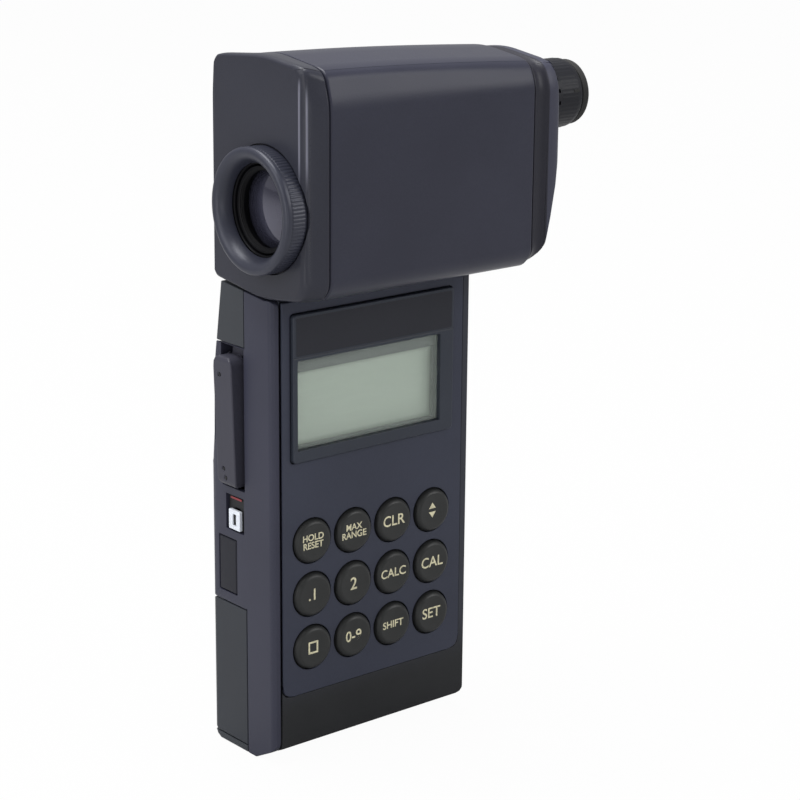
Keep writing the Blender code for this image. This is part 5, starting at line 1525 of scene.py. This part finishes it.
@dataclass
class Objective:
    """Focus ring, guide barrel, sliding cell and the glass in it."""

    shop: Workshop
    looks: Palette
    front: float = -0.0421
    back: float = -0.0351
    radius: float = 0.0173
    ribs: int = 104
    rib_depths: Depths = (0.0, 0.1, 0.22, 0.1)
    throat: float = 12.75 * MM
    seat: float = 13.9 * MM
    seat_place: float = -0.0380
    cell_front: float = -0.0371
    cell_back: float = -0.0211
    cell_radius: float = 11.9 * MM
    cell_bore: float = 11.3 * MM
    stop_radius: float = 10.5 * MM
    stop_depth: float = 1.6 * MM
    glass_radius: float = 11.0 * MM
    glass_sag: float = 1.4 * MM
    glass_set_back: float = 1.9 * MM
    glass_thick: float = 5.2 * MM
    barrel_front: float = -0.0377
    barrel_back: float = -0.0037
    barrel_radius: float = 13.6 * MM
    barrel_bore: float = 12.3 * MM
    flange_place: float = -0.0330
    flange_radius: float = 17.0 * MM
    flange_thick: float = 1.6 * MM

    def build_ring(self) -> None:
        """Build the ribbed focus ring with its wide funnel mouth."""
        f, b, r = self.front, self.back, self.radius
        rows = [(f + 1.0 * MM, r, 0.0), (f + 1.7 * MM, r, 0.0), (f + 1.95 * MM, r - 0.35 * MM, 0.0),
                (f + 2.2 * MM, r - 0.3 * MM, 0.2), (f + 2.5 * MM, r - 0.05 * MM, 1.0),
                (b - 1.0 * MM, r - 0.05 * MM, 1.0), (b - 0.6 * MM, r - 0.3 * MM, 0.2),
                (b, r - 0.5 * MM, 0.0)]
        rows += [(b, self.seat, 0.0), (self.seat_place, self.seat, 0.0),
                 (self.seat_place, self.throat, 0.0), (f + 4.0 * MM, self.throat, 0.0)]
        funnel = ((3.2, 13.0), (2.4, 13.25), (1.7, 13.6), (1.0, 14.05), (0.5, 14.55), (0.2, 15.05),
                  (0.05, 15.5), (0.0, 15.9), (0.03, 16.3), (0.15, 16.65), (0.35, 16.95), (0.65, 17.2))
        rows += [(f + depth * MM, reach * MM, 0.0) for depth, reach in funnel]
        ring = Bench.toothed("focus_ring_ribbed", rows, LENS_AXIS, self.ribs, self.rib_depths)
        Bench.shade(ring, 50.0)
        self.shop.deliver(ring, self.looks.ring, Slot.RING, "focus_collar", ["focus_ring"])

    def build_cell(self) -> None:
        """Build the black sliding cell with the light-trap grooves inside its lip."""
        start, stop = self.cell_front, self.cell_front + self.stop_depth
        profile = [(self.cell_radius, start + 0.2 * MM), (self.cell_radius, self.cell_back),
                   (self.cell_bore, self.cell_back), (self.cell_bore, stop),
                   (self.stop_radius, stop)]
        grooves = [(10.5, 1.35), (10.62, 1.2), (10.5, 1.05), (10.72, 0.9), (10.6, 0.7), (10.9, 0.5),
                   (10.8, 0.3), (11.15, 0.1), (11.2, 0.0), (11.7, 0.0)]
        profile += [(reach * MM, start + depth * MM) for reach, depth in grooves]
        cell = Bench.spun("lens_cell_tube", profile, LENS_AXIS)
        Bench.shade(cell, LATHE_ANGLE)
        self.shop.deliver(cell, self.looks.barrel, Slot.BLACK_METAL, "focus_cell", ["lens_cell"])

    def build_glass(self) -> None:
        """Build the objective's glass with its polished curves."""
        start = self.cell_front + self.glass_set_back
        glass = Bench.lens("objective_glass", LENS_AXIS, self.glass_radius, self.glass_sag,
                           (start, start + self.glass_thick), 10, 72)
        self.shop.deliver(glass, self.looks.lens, Slot.GLASS, "focus_cell", ["objective_lens"])

    def build_barrel(self) -> None:
        """Build the guide barrel that carries ring and cell."""
        start, end, seat = self.barrel_front, self.barrel_back, self.flange_place
        radius, behind = self.barrel_radius, self.flange_place + self.flange_thick
        profile = [(13.5 * MM, start + 0.1 * MM), (radius, start + 0.3 * MM), (radius, seat),
                   (self.flange_radius, seat), (self.flange_radius, behind), (radius, behind),
                   (radius, end), (self.barrel_bore, end), (self.barrel_bore, start + 0.3 * MM),
                   (12.5 * MM, start)]
        barrel = Bench.spun("guide_barrel", profile, LENS_AXIS)
        Bench.shade(barrel, LATHE_ANGLE)
        self.shop.deliver(barrel, self.looks.barrel, Slot.BLACK_METAL, replaces=["lens_barrel"])


@dataclass
class Eyepiece:
    """Fixed tube, turning dioptre ring, rubber rim and eye lens."""

    shop: Workshop
    looks: Palette
    rear: float = Head.rear
    radius: float = 0.0102
    bore: float = 8.5 * MM
    ring_gap: float = 0.3 * MM
    ring_length: float = 17.6 * MM
    collar: float = 8.6 * MM
    flutes: int = 48
    flute_depths: Depths = (0.0, 0.03, 0.09, 0.03)
    notches: int = 18
    notch_place: float = 7.6 * MM
    notch_half: Point = (0.7 * MM, 0.6 * MM, 0.55 * MM)
    notch_turn_share: float = 0.35
    index_angle: float = 170.0
    index_sunk: float = 0.14 * MM
    rim_start: float = 18.2 * MM
    rim_length: float = 2.6 * MM
    lens_place: float = 17.4 * MM
    lens_radius: float = 6.5 * MM
    lens_sag: float = 0.95 * MM
    lens_thick: float = 1.6 * MM

    def build_ring(self) -> None:
        """Build the fluted dioptre ring with the notched collar at its root."""
        near = self.rear + self.ring_gap
        far = near + self.ring_length
        r = self.radius
        rows = [(near, self.bore, 0.0), (near, r - 0.5 * MM, 0.0),
                (near + 0.3 * MM, r - 0.15 * MM, 0.0), (near + 0.8 * MM, r, 0.0),
                (near + self.collar, r, 0.0), (near + 8.9 * MM, r - 0.12 * MM, 0.0),
                (near + 9.2 * MM, r - 0.02 * MM, 1.0), (far - 2.2 * MM, r - 0.02 * MM, 1.0),
                (far - 1.9 * MM, r - 0.1 * MM, 0.0), (far - 1.0 * MM, r - 0.16 * MM, 0.0),
                (far - 0.35 * MM, r - 0.5 * MM, 0.0), (far, r - 1.1 * MM, 0.0),
                (far, self.bore, 0.0)]
        ring = Bench.toothed("dioptre_ring_fluted", rows, EYE_AXIS, self.flutes, self.flute_depths)
        tools = []
        for index in range(self.notches):
            angle = math.tau * (index + self.notch_turn_share) / self.notches
            tool = Bench.block(f"notch_{index}", tuple(-reach for reach in self.notch_half),
                               self.notch_half)
            tools.append(Bench.stand(tool, near + self.notch_place, EYE_AXIS, r, angle))
        Bench.cut(ring, *tools)
        Bench.shade(ring)
        self.shop.deliver(ring, self.looks.dioptre, Slot.DIOPTRE, "dioptre", ["dioptre_ring"])
        index_line = Bench.block("dioptre_index", (far - 4.0 * MM, -0.25 * MM, -0.4 * MM),
                                 (far - 1.9 * MM, 0.2 * MM, 0.4 * MM))
        Bench.stand(index_line, 0.0, EYE_AXIS, r - self.index_sunk, math.radians(self.index_angle))
        Bench.soften(index_line, 0.06 * MM)
        self.shop.deliver(index_line, self.looks.rubber, Slot.DIOPTRE, "dioptre")

    def build_rim(self) -> None:
        """Build the soft rubber rim."""
        near = self.rear + self.rim_start
        far = near + self.rim_length
        profile = fillet([(9.4 * MM, near), (9.6 * MM, far), (6.2 * MM, far), (6.0 * MM, near)],
                         [0.3 * MM, 1.2 * MM, 1.2 * MM, 0.3 * MM], 5)
        rim = Bench.spun("eyecup_rim", profile, EYE_AXIS, 72)
        Bench.shade(rim, 50.0)
        self.shop.deliver(rim, self.looks.rubber, Slot.BLACK_RUBBER, "dioptre", ["eyecup"])

    def build_lens(self) -> None:
        """Build the eye lens."""
        start, sag = self.rear + self.lens_place - 1.0 * MM - 3.6 * MM, self.lens_sag
        glass = Bench.lens("eye_glass", EYE_AXIS, self.lens_radius, sag,
                           (start - sag, start + self.lens_thick + sag), 8, 56)
        self.shop.deliver(glass, self.looks.eye_glass, Slot.GLASS, "eye_lens", ["eyepiece_lens"])


@dataclass
class Keypad:
    """Twelve round keys and their printed signs."""

    shop: Workshop
    looks: Palette
    left: float = -0.0224
    top: float = 0.0657
    step: Spot = (0.0147, 0.0160)
    rows: int = 3
    columns: int = 4
    front: float = -0.0154
    proud: float = 0.0015
    face: float = 0.0060
    dish: float = 0.22 * MM
    dish_share: float = 0.84
    edge_drop: float = 0.5 * MM
    sunk: float = 0.12 * MM
    body: float = 6.4 * MM
    flange: float = 7.2 * MM
    flange_front: float = -0.0140
    flange_back: float = -0.0132
    stem: float = 4.2 * MM
    stem_end: float = -0.0113
    drift: Spot = (-0.0005, 0.0003)
    ink_half: float = 0.05 * MM
    ink_proud: float = 0.03 * MM
    words: dict[str, tuple[str, ...] | Mark] = field(default_factory=lambda: {
        "key_11": ("HOLD", "RESET"), "key_12": ("MAX", "RANGE"), "key_13": ("CLR",),
        "key_14": Mark.ARROWS, "key_21": (".1",), "key_22": ("2",), "key_23": ("CALC",),
        "key_24": ("CAL",),
        "key_31": Mark.SQUARE, "key_32": ("0-9",), "key_33": ("SHIFT",), "key_34": ("SET",)})

    def places(self) -> Iterator[tuple[str, float, float]]:
        """Give each key's name and centre.

        Returns:
            The names with the centres' X and Z, row by row.
        """
        for row in range(self.rows):
            for column in range(self.columns):
                yield (f"key_{row + 1}{column + 1}", self.left + column * self.step[0],
                       self.top - row * self.step[1])

    def dome(self, reach: float) -> float:
        """Give the depth of a key's dished crown.

        Args:
            reach: Distance from the key's middle.

        Returns:
            The crown's place along Y.
        """
        share = min(1.0, reach / self.face)
        dish = self.dish * max(0.0, 1 - (share / self.dish_share) ** 2)
        edge = self.edge_drop * max(0.0, (share - self.dish_share) / (1 - self.dish_share)) ** 2
        return self.front - self.proud + self.sunk + dish + edge

    def build_keys(self) -> None:
        """Model one key, then copy it to every place."""
        crest = self.front - self.proud
        steps = 20
        profile = [(self.face * k / steps, self.dome(self.face * k / steps)) for k in range(steps + 1)]
        profile += [(self.face + 0.16 * MM, crest + 0.85 * MM), (self.face + 0.28 * MM, crest + 1.15 * MM),
                    (self.face + 0.34 * MM, crest + 1.4 * MM), (self.body, crest + 1.7 * MM),
                    (self.body, self.flange_front), (self.flange, self.flange_front),
                    (self.flange, self.flange_back), (self.stem, self.flange_back),
                    (self.stem, self.stem_end), (0.0, self.stem_end)]
        master = Bench.spun("key_master", profile, (0.0, 0.0), 56, "Y")
        Bench.shade(master, 32.0)
        for name, x, z in self.places():
            cap = Bench.copy(master, name + "_cap")
            cap.data.transform(Matrix.Translation((x, 0.0, z)))
            self.shop.deliver(cap, self.looks.key, Slot.KEY_CAP, "push_" + name, [name])
            self.build_sign(name, x, z)
        bpy.data.objects.remove(master, do_unlink=True)

    def build_sign(self, name: str, x: float, z: float) -> None:
        """Print a key's word or drawn sign on its crown.

        Args:
            name: Name of the key.
            x: The key's middle along X.
            z: The key's middle along Z.
        """
        content = self.words[name]
        sign = self.drawn(content) if isinstance(content, Mark) else self.worded(content)
        sign.name = sign.data.name = name + "_sign"
        for vertex in sign.data.vertices:
            raised = -self.ink_proud if vertex.co.y < 0 else self.ink_proud
            vertex.co.x += self.drift[0]
            vertex.co.z += self.drift[1]
            vertex.co.y = self.dome(math.hypot(vertex.co.x, vertex.co.z)) + raised
        sign.data.transform(Matrix.Translation((x, 0.0, z)))
        self.shop.deliver(sign, self.looks.ink, Slot.KEY_CAP, "push_" + name)

    def worded(self, lines: Sequence[str]) -> Thing:
        """Set one or two short lines of plain capitals, facing the user.

        Args:
            lines: The words.

        Returns:
            The letters as a mesh.
        """
        Bench.clear()
        bpy.ops.object.text_add()
        text = bpy.context.object
        longest = max(len(line) for line in lines)
        size = {1: 5.2, 2: 4.8, 3: 4.5, 4: 3.7}.get(longest, 3.1) * (0.88 if len(lines) > 1 else 1.0)
        text.data.body = "\n".join(lines)
        text.data.size = size * MM
        text.data.align_x = "CENTER"
        text.data.space_line = 0.86
        text.data.offset = 0.045 * MM
        text.data.extrude = self.ink_half
        Bench.pick(text)
        bpy.ops.object.convert(target="MESH")
        sign = bpy.context.object
        heights = [vertex.co.y for vertex in sign.data.vertices]
        middle = (min(heights) + max(heights)) / 2
        sign.data.transform(Matrix.Translation((0.0, -middle, 0.0)))
        sign.data.transform(Matrix.Rotation(math.pi / 2, 4, "X"))
        return sign

    def drawn(self, mark: Mark) -> Thing:
        """Draw a plain sign from outlines, facing the user.

        Args:
            mark: Which sign.

        Returns:
            The sign as a mesh.
        """
        near, far = -self.ink_half, self.ink_half
        if mark is Mark.SQUARE:
            border = rectangle(-1.75 * MM, 1.75 * MM, -1.85 * MM, 1.85 * MM, 0.15 * MM, 2)
            sign = Bench.prism("sign", border, "Y", near, far)
            return Bench.cut(sign, Bench.block("inside", (-1.2 * MM, -1 * MM, -1.3 * MM),
                                               (1.2 * MM, 1 * MM, 1.3 * MM)))
        up = [(-1.3 * MM, 0.5 * MM), (1.3 * MM, 0.5 * MM), (0.0, 2.3 * MM)]
        sign = Bench.prism("sign", up, "Y", near, far)
        lower = Bench.prism("lower", [(a, -b) for a, b in up], "Y", near, far)
        return Bench.cut(sign, lower, operation="UNION")


@dataclass
class Grip:
    """Grip shells, front cover, keypad panel and battery cover."""

    shop: Workshop
    looks: Palette
    side: float = 0.0356
    back: float = 0.0100
    seam: Spot = (-0.0024, -0.0016)
    closed: Spot = (0.0443, 0.1207)
    bridge: float = 1.4 * MM
    line_start: float = -1.9 * MM
    line_width: float = 0.3 * MM
    line_depth: float = 0.45 * MM
    line_corner: float = 1.8 * MM
    past: float = 5.0 * MM

    def build_shell(self) -> None:
        """Join the shells along their closed seam and cut the line under the upper back."""
        low, high = self.closed
        shell = Bench.copy_of("front_case", "grip_shell")
        parts = [Bench.copy_of("rear_case", "rear_half")]
        for sign in (-1, 1):
            ends = sorted((sign * self.side, sign * (self.side - self.bridge)))
            parts.append(Bench.block(f"bridge_{sign}", (ends[0], self.seam[0], low),
                                     (ends[1], self.seam[1], high)))
        Bench.cut(shell, *parts, operation="UNION")
        reach = self.side + self.past
        line = Bench.block("line", (-reach, self.line_start, high),
                           (reach, self.back + self.past, high + self.line_width))
        inner = rectangle(self.line_depth - self.side, self.side - self.line_depth, -4.0 * MM,
                          self.back - self.line_depth, self.line_corner)
        Bench.cut(line, Bench.prism("inner", inner, "Z", high - 1.0 * MM, high + 1.0 * MM))
        Bench.cut(shell, line)
        Bench.split(shell)
        Bench.soften(shell, 0.22 * MM, angle=SHELL_ANGLE)
        self.shop.deliver(shell, self.looks.shell, Slot.NAVY_SHELL, replaces=["front_case", "rear_case"])

    def build_covers(self) -> None:
        """Soften and dress the front cover, the battery cover and the raised panel."""
        refine, looks = self.shop.refine, self.looks
        refine("battery_cover", looks.grey, Slot.GREY_SHELL, 0.22 * MM)
        refine("front_cover", looks.cover, Slot.BLACK_PLASTIC, 0.2 * MM)
        refine("keypad_panel", looks.panel, Slot.NAVY_PANEL, 0.16 * MM)


@dataclass
class SideControls:
    """Trigger lever, power switch and the jack's cover on the grip's left side."""

    shop: Workshop
    looks: Palette
    pins: tuple[Point, ...] = ((-0.0387, 0.0056, 0.1124), (-0.0377, 0.0054, 0.0848),
                               (-0.0377, 0.0046, 0.0822))
    dimple: Spot = (0.62 * MM, 1.6 * MM)
    pin: Spot = (0.45 * MM, 1.0 * MM)
    pin_sunk: float = 0.6 * MM
    pin_sides: int = 20
    slot_half: Spot = (0.76 * MM, 1.66 * MM)
    slot_depth: Spot = (0.34 * MM, 0.62 * MM)
    slot_corner: float = 0.2 * MM

    def build_lever(self) -> None:
        """Round the lever and set its three small pins in dark dimples."""
        lever = Bench.copy_of("trigger_lever", "trigger_lever_shell")
        radius, length = self.dimple
        for index, place in enumerate(self.pins):
            Bench.cut(lever, Bench.rod(f"dimple_{index}", radius, place, length, sides=self.pin_sides))
        Bench.soften(lever, 0.42 * MM, 3, SHELL_ANGLE)
        self.shop.deliver(lever, self.looks.lever, Slot.GREY_SHELL, "trigger", ["trigger_lever"])
        radius, length = self.pin
        for index, (x, y, z) in enumerate(self.pins):
            pin = Bench.rod(f"lever_pin_{index + 1}", radius, (x + self.pin_sunk, y, z), length,
                            sides=self.pin_sides)
            Bench.soften(pin, 0.12 * MM)
            self.shop.deliver(pin, self.looks.black, Slot.DARK_STEEL, "trigger")

    def build_switch(self) -> None:
        """Soften the switch's pieces and darken the slot in the knob's face with a black insert, as painted
        shade.
        """
        refine, looks = self.shop.refine, self.looks
        refine("switch_tray", looks.black, Slot.BLACK_PLASTIC, 0.1 * MM, 1)
        refine("switch_knob", looks.white, Slot.WHITE_PLASTIC, 0.1 * MM)
        refine("switch_mark", looks.red, Slot.RED_MARK, 0.05 * MM, 1)
        low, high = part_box("switch_knob")
        y, z = (low.y + high.y) / 2, (low.z + high.z) / 2
        wide, tall = self.slot_half
        # painted shade: a black insert at the bottom of the knob's slot
        outline = rectangle(y - wide, y + wide, z - tall, z + tall, self.slot_corner, 3)
        slot = Bench.prism("knob_slot_shade", outline, "X", low.x + self.slot_depth[0],
                           low.x + self.slot_depth[1])
        Bench.soften(slot, 0.05 * MM, 1)
        self.shop.deliver(slot, looks.black, Slot.BLACK_PLASTIC, "power_knob")

    def build_door(self) -> None:
        """Round the jack's cover along its outer face, so that a shadow line runs round it."""
        self.shop.refine("jack_cover", self.looks.door, Slot.GREY_SHELL, 0.45 * MM)


@dataclass
class Display:
    """Raised frame with a bare header, clear window and display behind it."""

    shop: Workshop
    looks: Palette
    header: float = 12.2 * MM
    crease_half: float = 0.15 * MM
    crease_depth: float = 0.2 * MM
    past: float = 1.0 * MM
    film_inset: float = 0.9 * MM
    film_gap: float = 0.5 * MM
    film_corner: float = 0.5 * MM
    film_proud: float = 0.03 * MM
    film_sunk: float = 0.1 * MM

    def build_frame(self) -> None:
        """Soften the frame, cut the crease under its header and lay the header's dark film."""
        low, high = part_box("display_bezel")
        crease, past, inset = high.z - self.header, self.past, self.film_inset
        bezel = Bench.copy_of("display_bezel", "display_frame")
        Bench.cut(bezel, Bench.block("crease", (low.x - past, low.y - past, crease - self.crease_half),
                                     (high.x + past, low.y + self.crease_depth,
                                      crease + self.crease_half)))
        Bench.soften(bezel, 0.16 * MM, angle=SHELL_ANGLE)
        self.shop.deliver(bezel, self.looks.bezel, Slot.BLACK_PLASTIC, replaces=["display_bezel"])
        outline = rectangle(low.x + inset, high.x - inset, crease + self.film_gap, high.z - inset,
                            self.film_corner)
        film = Bench.prism("header_film", outline, "Y", low.y - self.film_proud,
                           low.y + self.film_sunk)
        self.shop.deliver(film, self.looks.header, Slot.BLACK_PLASTIC)

    def build(self) -> None:
        """Build the frame and dress the window and the display."""
        self.build_frame()
        self.shop.dress("display_window", self.looks.pane)
        self.shop.dress("lcd_glass", self.looks.display)
        self.shop.dress("lcd_holder", self.looks.black)


@dataclass
class Inside:
    """Everything that the shells hide, and the fasteners."""

    shop: Workshop
    looks: Palette
    case_screws: int = 4

    def build(self) -> None:
        """Dress each hidden solid."""
        looks = self.looks
        screws = [f"case_screw_{index + 1}" for index in range(self.case_screws)]
        groups: list[tuple[Finish, list[str]]] = [
            (looks.rubber, ["keypad_mat"]),
            (looks.black, ["output_jack", "trigger_switch"]),
            (looks.steel, ["board_screw_1", "board_screw_2", *screws, "trigger_pin", "neck_plate",
                           "neck_bolt"]),
            (looks.nickel, ["contact_link", "contact_plus", "contact_minus"]),
            (looks.chassis, ["optics_chassis", "eyepiece_tube"]),
            (looks.mirror, ["aperture_mirror"]),
            (looks.lens, ["finder_prism"]),
            (looks.board, ["main_board", "sensor_unit"]),
            (looks.cell, ["cell_1", "cell_2"])]
        for finish, nodes in groups:
            for node in nodes:
                self.shop.dress(node, finish)


@dataclass(frozen=True)
class Lamp:
    """A soft rectangular lamp: where it hangs, its width and height, and its watts."""

    name: str
    place: Point
    size: Spot
    power: float


@dataclass
class Studio:
    """Pale floor, white surround, soft lamps and the camera."""

    place: Point = (-0.394555, -0.498609, 0.280153)
    right: Point = (0.76866516, -0.63959628, 0.00839458)
    up: Point = (0.16853629, 0.21517154, 0.96192345)
    ahead: Point = (0.61704894, 0.73798225, -0.27319005)
    lens: float = 103.0786
    sensor: float = 36.0
    clip: Spot = (0.01, 50.0)
    floor_size: float = 8.0
    paper: tuple[Tone, Tone] = ((172, 172, 172), (180, 180, 180))
    paper_glow: float = 0.97
    world_level: float = 0.46
    aim: Point = (0.0, 0.0, 0.12)
    lamps: tuple[Lamp, ...] = (Lamp("key_lamp", (-1.6, 0.3, 1.0), (1.0, 1.0), 10.5),
                               Lamp("fill_lamp", (1.3, -1.6, 1.1), (1.2, 1.2), 20.0),
                               Lamp("top_lamp", (-0.1, 0.3, 1.6), (1.3, 1.0), 38.0),
                               Lamp("left_strip", (-0.62, -0.12, 0.1), (0.05, 0.5), 0.9),
                               Lamp("front_strip", (-0.45, -0.66, 0.08), (0.04, 0.4), 0.7))

    def build_camera(self) -> None:
        """Set the camera where the photograph's view is."""
        data = bpy.data.cameras.new("camera")
        data.lens, data.sensor_width = self.lens, self.sensor
        data.clip_start, data.clip_end = self.clip
        camera = bpy.data.objects.new("camera", data)
        bpy.context.scene.collection.objects.link(camera)
        turn = Matrix((self.right, self.up, -Vector(self.ahead))).transposed().to_4x4()
        turn.translation = Vector(self.place)
        camera.matrix_world = turn
        bpy.context.scene.camera = camera

    def build_floor(self) -> None:
        """Lay a pale floor that shows white and keeps a soft shadow."""
        Bench.clear()
        bpy.ops.mesh.primitive_plane_add(size=self.floor_size)
        floor = Bench.named("floor")
        sheet = Sheet("floor_paper")
        grain = sheet.noise(60.0, 3.0)
        sheet.wear(Base_Color=sheet.mix(grain, *map(colour, self.paper)), Roughness=0.9,
                   Specular_IOR_Level=0.1)
        glow = sheet.node("ShaderNodeEmission", {}, {"Color": (1.0, 1.0, 1.0, 1.0), "Strength": 1.0})
        rays = sheet.node("ShaderNodeLightPath", {}, {})
        seen = Field(sheet, rays.outputs["Is Camera Ray"])
        blend = sheet.node("ShaderNodeMixShader", {}, {0: seen * self.paper_glow,
                                                       1: sheet.shader.outputs[0],
                                                       2: glow.outputs[0]})
        sheet.tree.links.new(blend.outputs[0], sheet.output.inputs["Surface"])
        floor.data.materials.append(sheet.material)

    def build_surround(self) -> None:
        """Make the world white to the eye, and dimmer as a light."""
        world = bpy.data.worlds.new("surround")
        bpy.context.scene.world = world
        world.use_nodes = True
        tree = world.node_tree
        back = tree.nodes["Background"]
        back.inputs["Color"].default_value = (1.0, 1.0, 1.0, 1.0)
        rays = tree.nodes.new("ShaderNodeLightPath")
        seen = tree.nodes.new("ShaderNodeMath")
        seen.operation = "MAXIMUM"
        tree.links.new(rays.outputs["Is Camera Ray"], seen.inputs[0])
        tree.links.new(rays.outputs["Is Transmission Ray"], seen.inputs[1])
        level = tree.nodes.new("ShaderNodeMapRange")
        level.inputs["To Min"].default_value = self.world_level
        level.inputs["To Max"].default_value = 1.0
        tree.links.new(seen.outputs[0], level.inputs["Value"])
        tree.links.new(level.outputs["Result"], back.inputs["Strength"])

    def hang(self, plan: Lamp) -> None:
        """Hang a soft lamp.

        Args:
            plan: The lamp's name, place, size and power.
        """
        data = bpy.data.lights.new(plan.name, "AREA")
        data.shape = "RECTANGLE"
        data.energy, data.size, data.size_y = plan.power, *plan.size
        lamp = bpy.data.objects.new(plan.name, data)
        bpy.context.scene.collection.objects.link(lamp)
        lamp.visible_camera = False
        lamp.location = plan.place
        facing = Vector(self.aim) - Vector(plan.place)
        lamp.rotation_euler = facing.to_track_quat("-Z", "Y").to_euler()

    def build(self) -> None:
        """Set up the whole studio."""
        bpy.context.scene.view_settings.view_transform = "Standard"
        self.build_camera()
        self.build_floor()
        self.build_surround()
        for plan in self.lamps:
            self.hang(plan)


def main() -> None:
    """Build the meter's looks in order."""
    logging.basicConfig(level=logging.INFO, format="%(message)s")
    Studio().build()
    shop, looks = Workshop(), Palette()
    head = Head(shop, looks)
    head.build_front()
    head.build_body()
    head.build_rear()
    objective = Objective(shop, looks)
    objective.build_ring()
    objective.build_cell()
    objective.build_glass()
    objective.build_barrel()
    eyepiece = Eyepiece(shop, looks)
    eyepiece.build_ring()
    eyepiece.build_rim()
    eyepiece.build_lens()
    Keypad(shop, looks).build_keys()
    grip = Grip(shop, looks)
    grip.build_shell()
    grip.build_covers()
    controls = SideControls(shop, looks)
    controls.build_lever()
    controls.build_switch()
    controls.build_door()
    Display(shop, looks).build()
    Inside(shop, looks).build()
    Bench.clear()


if __name__ == "__main__":
    main()
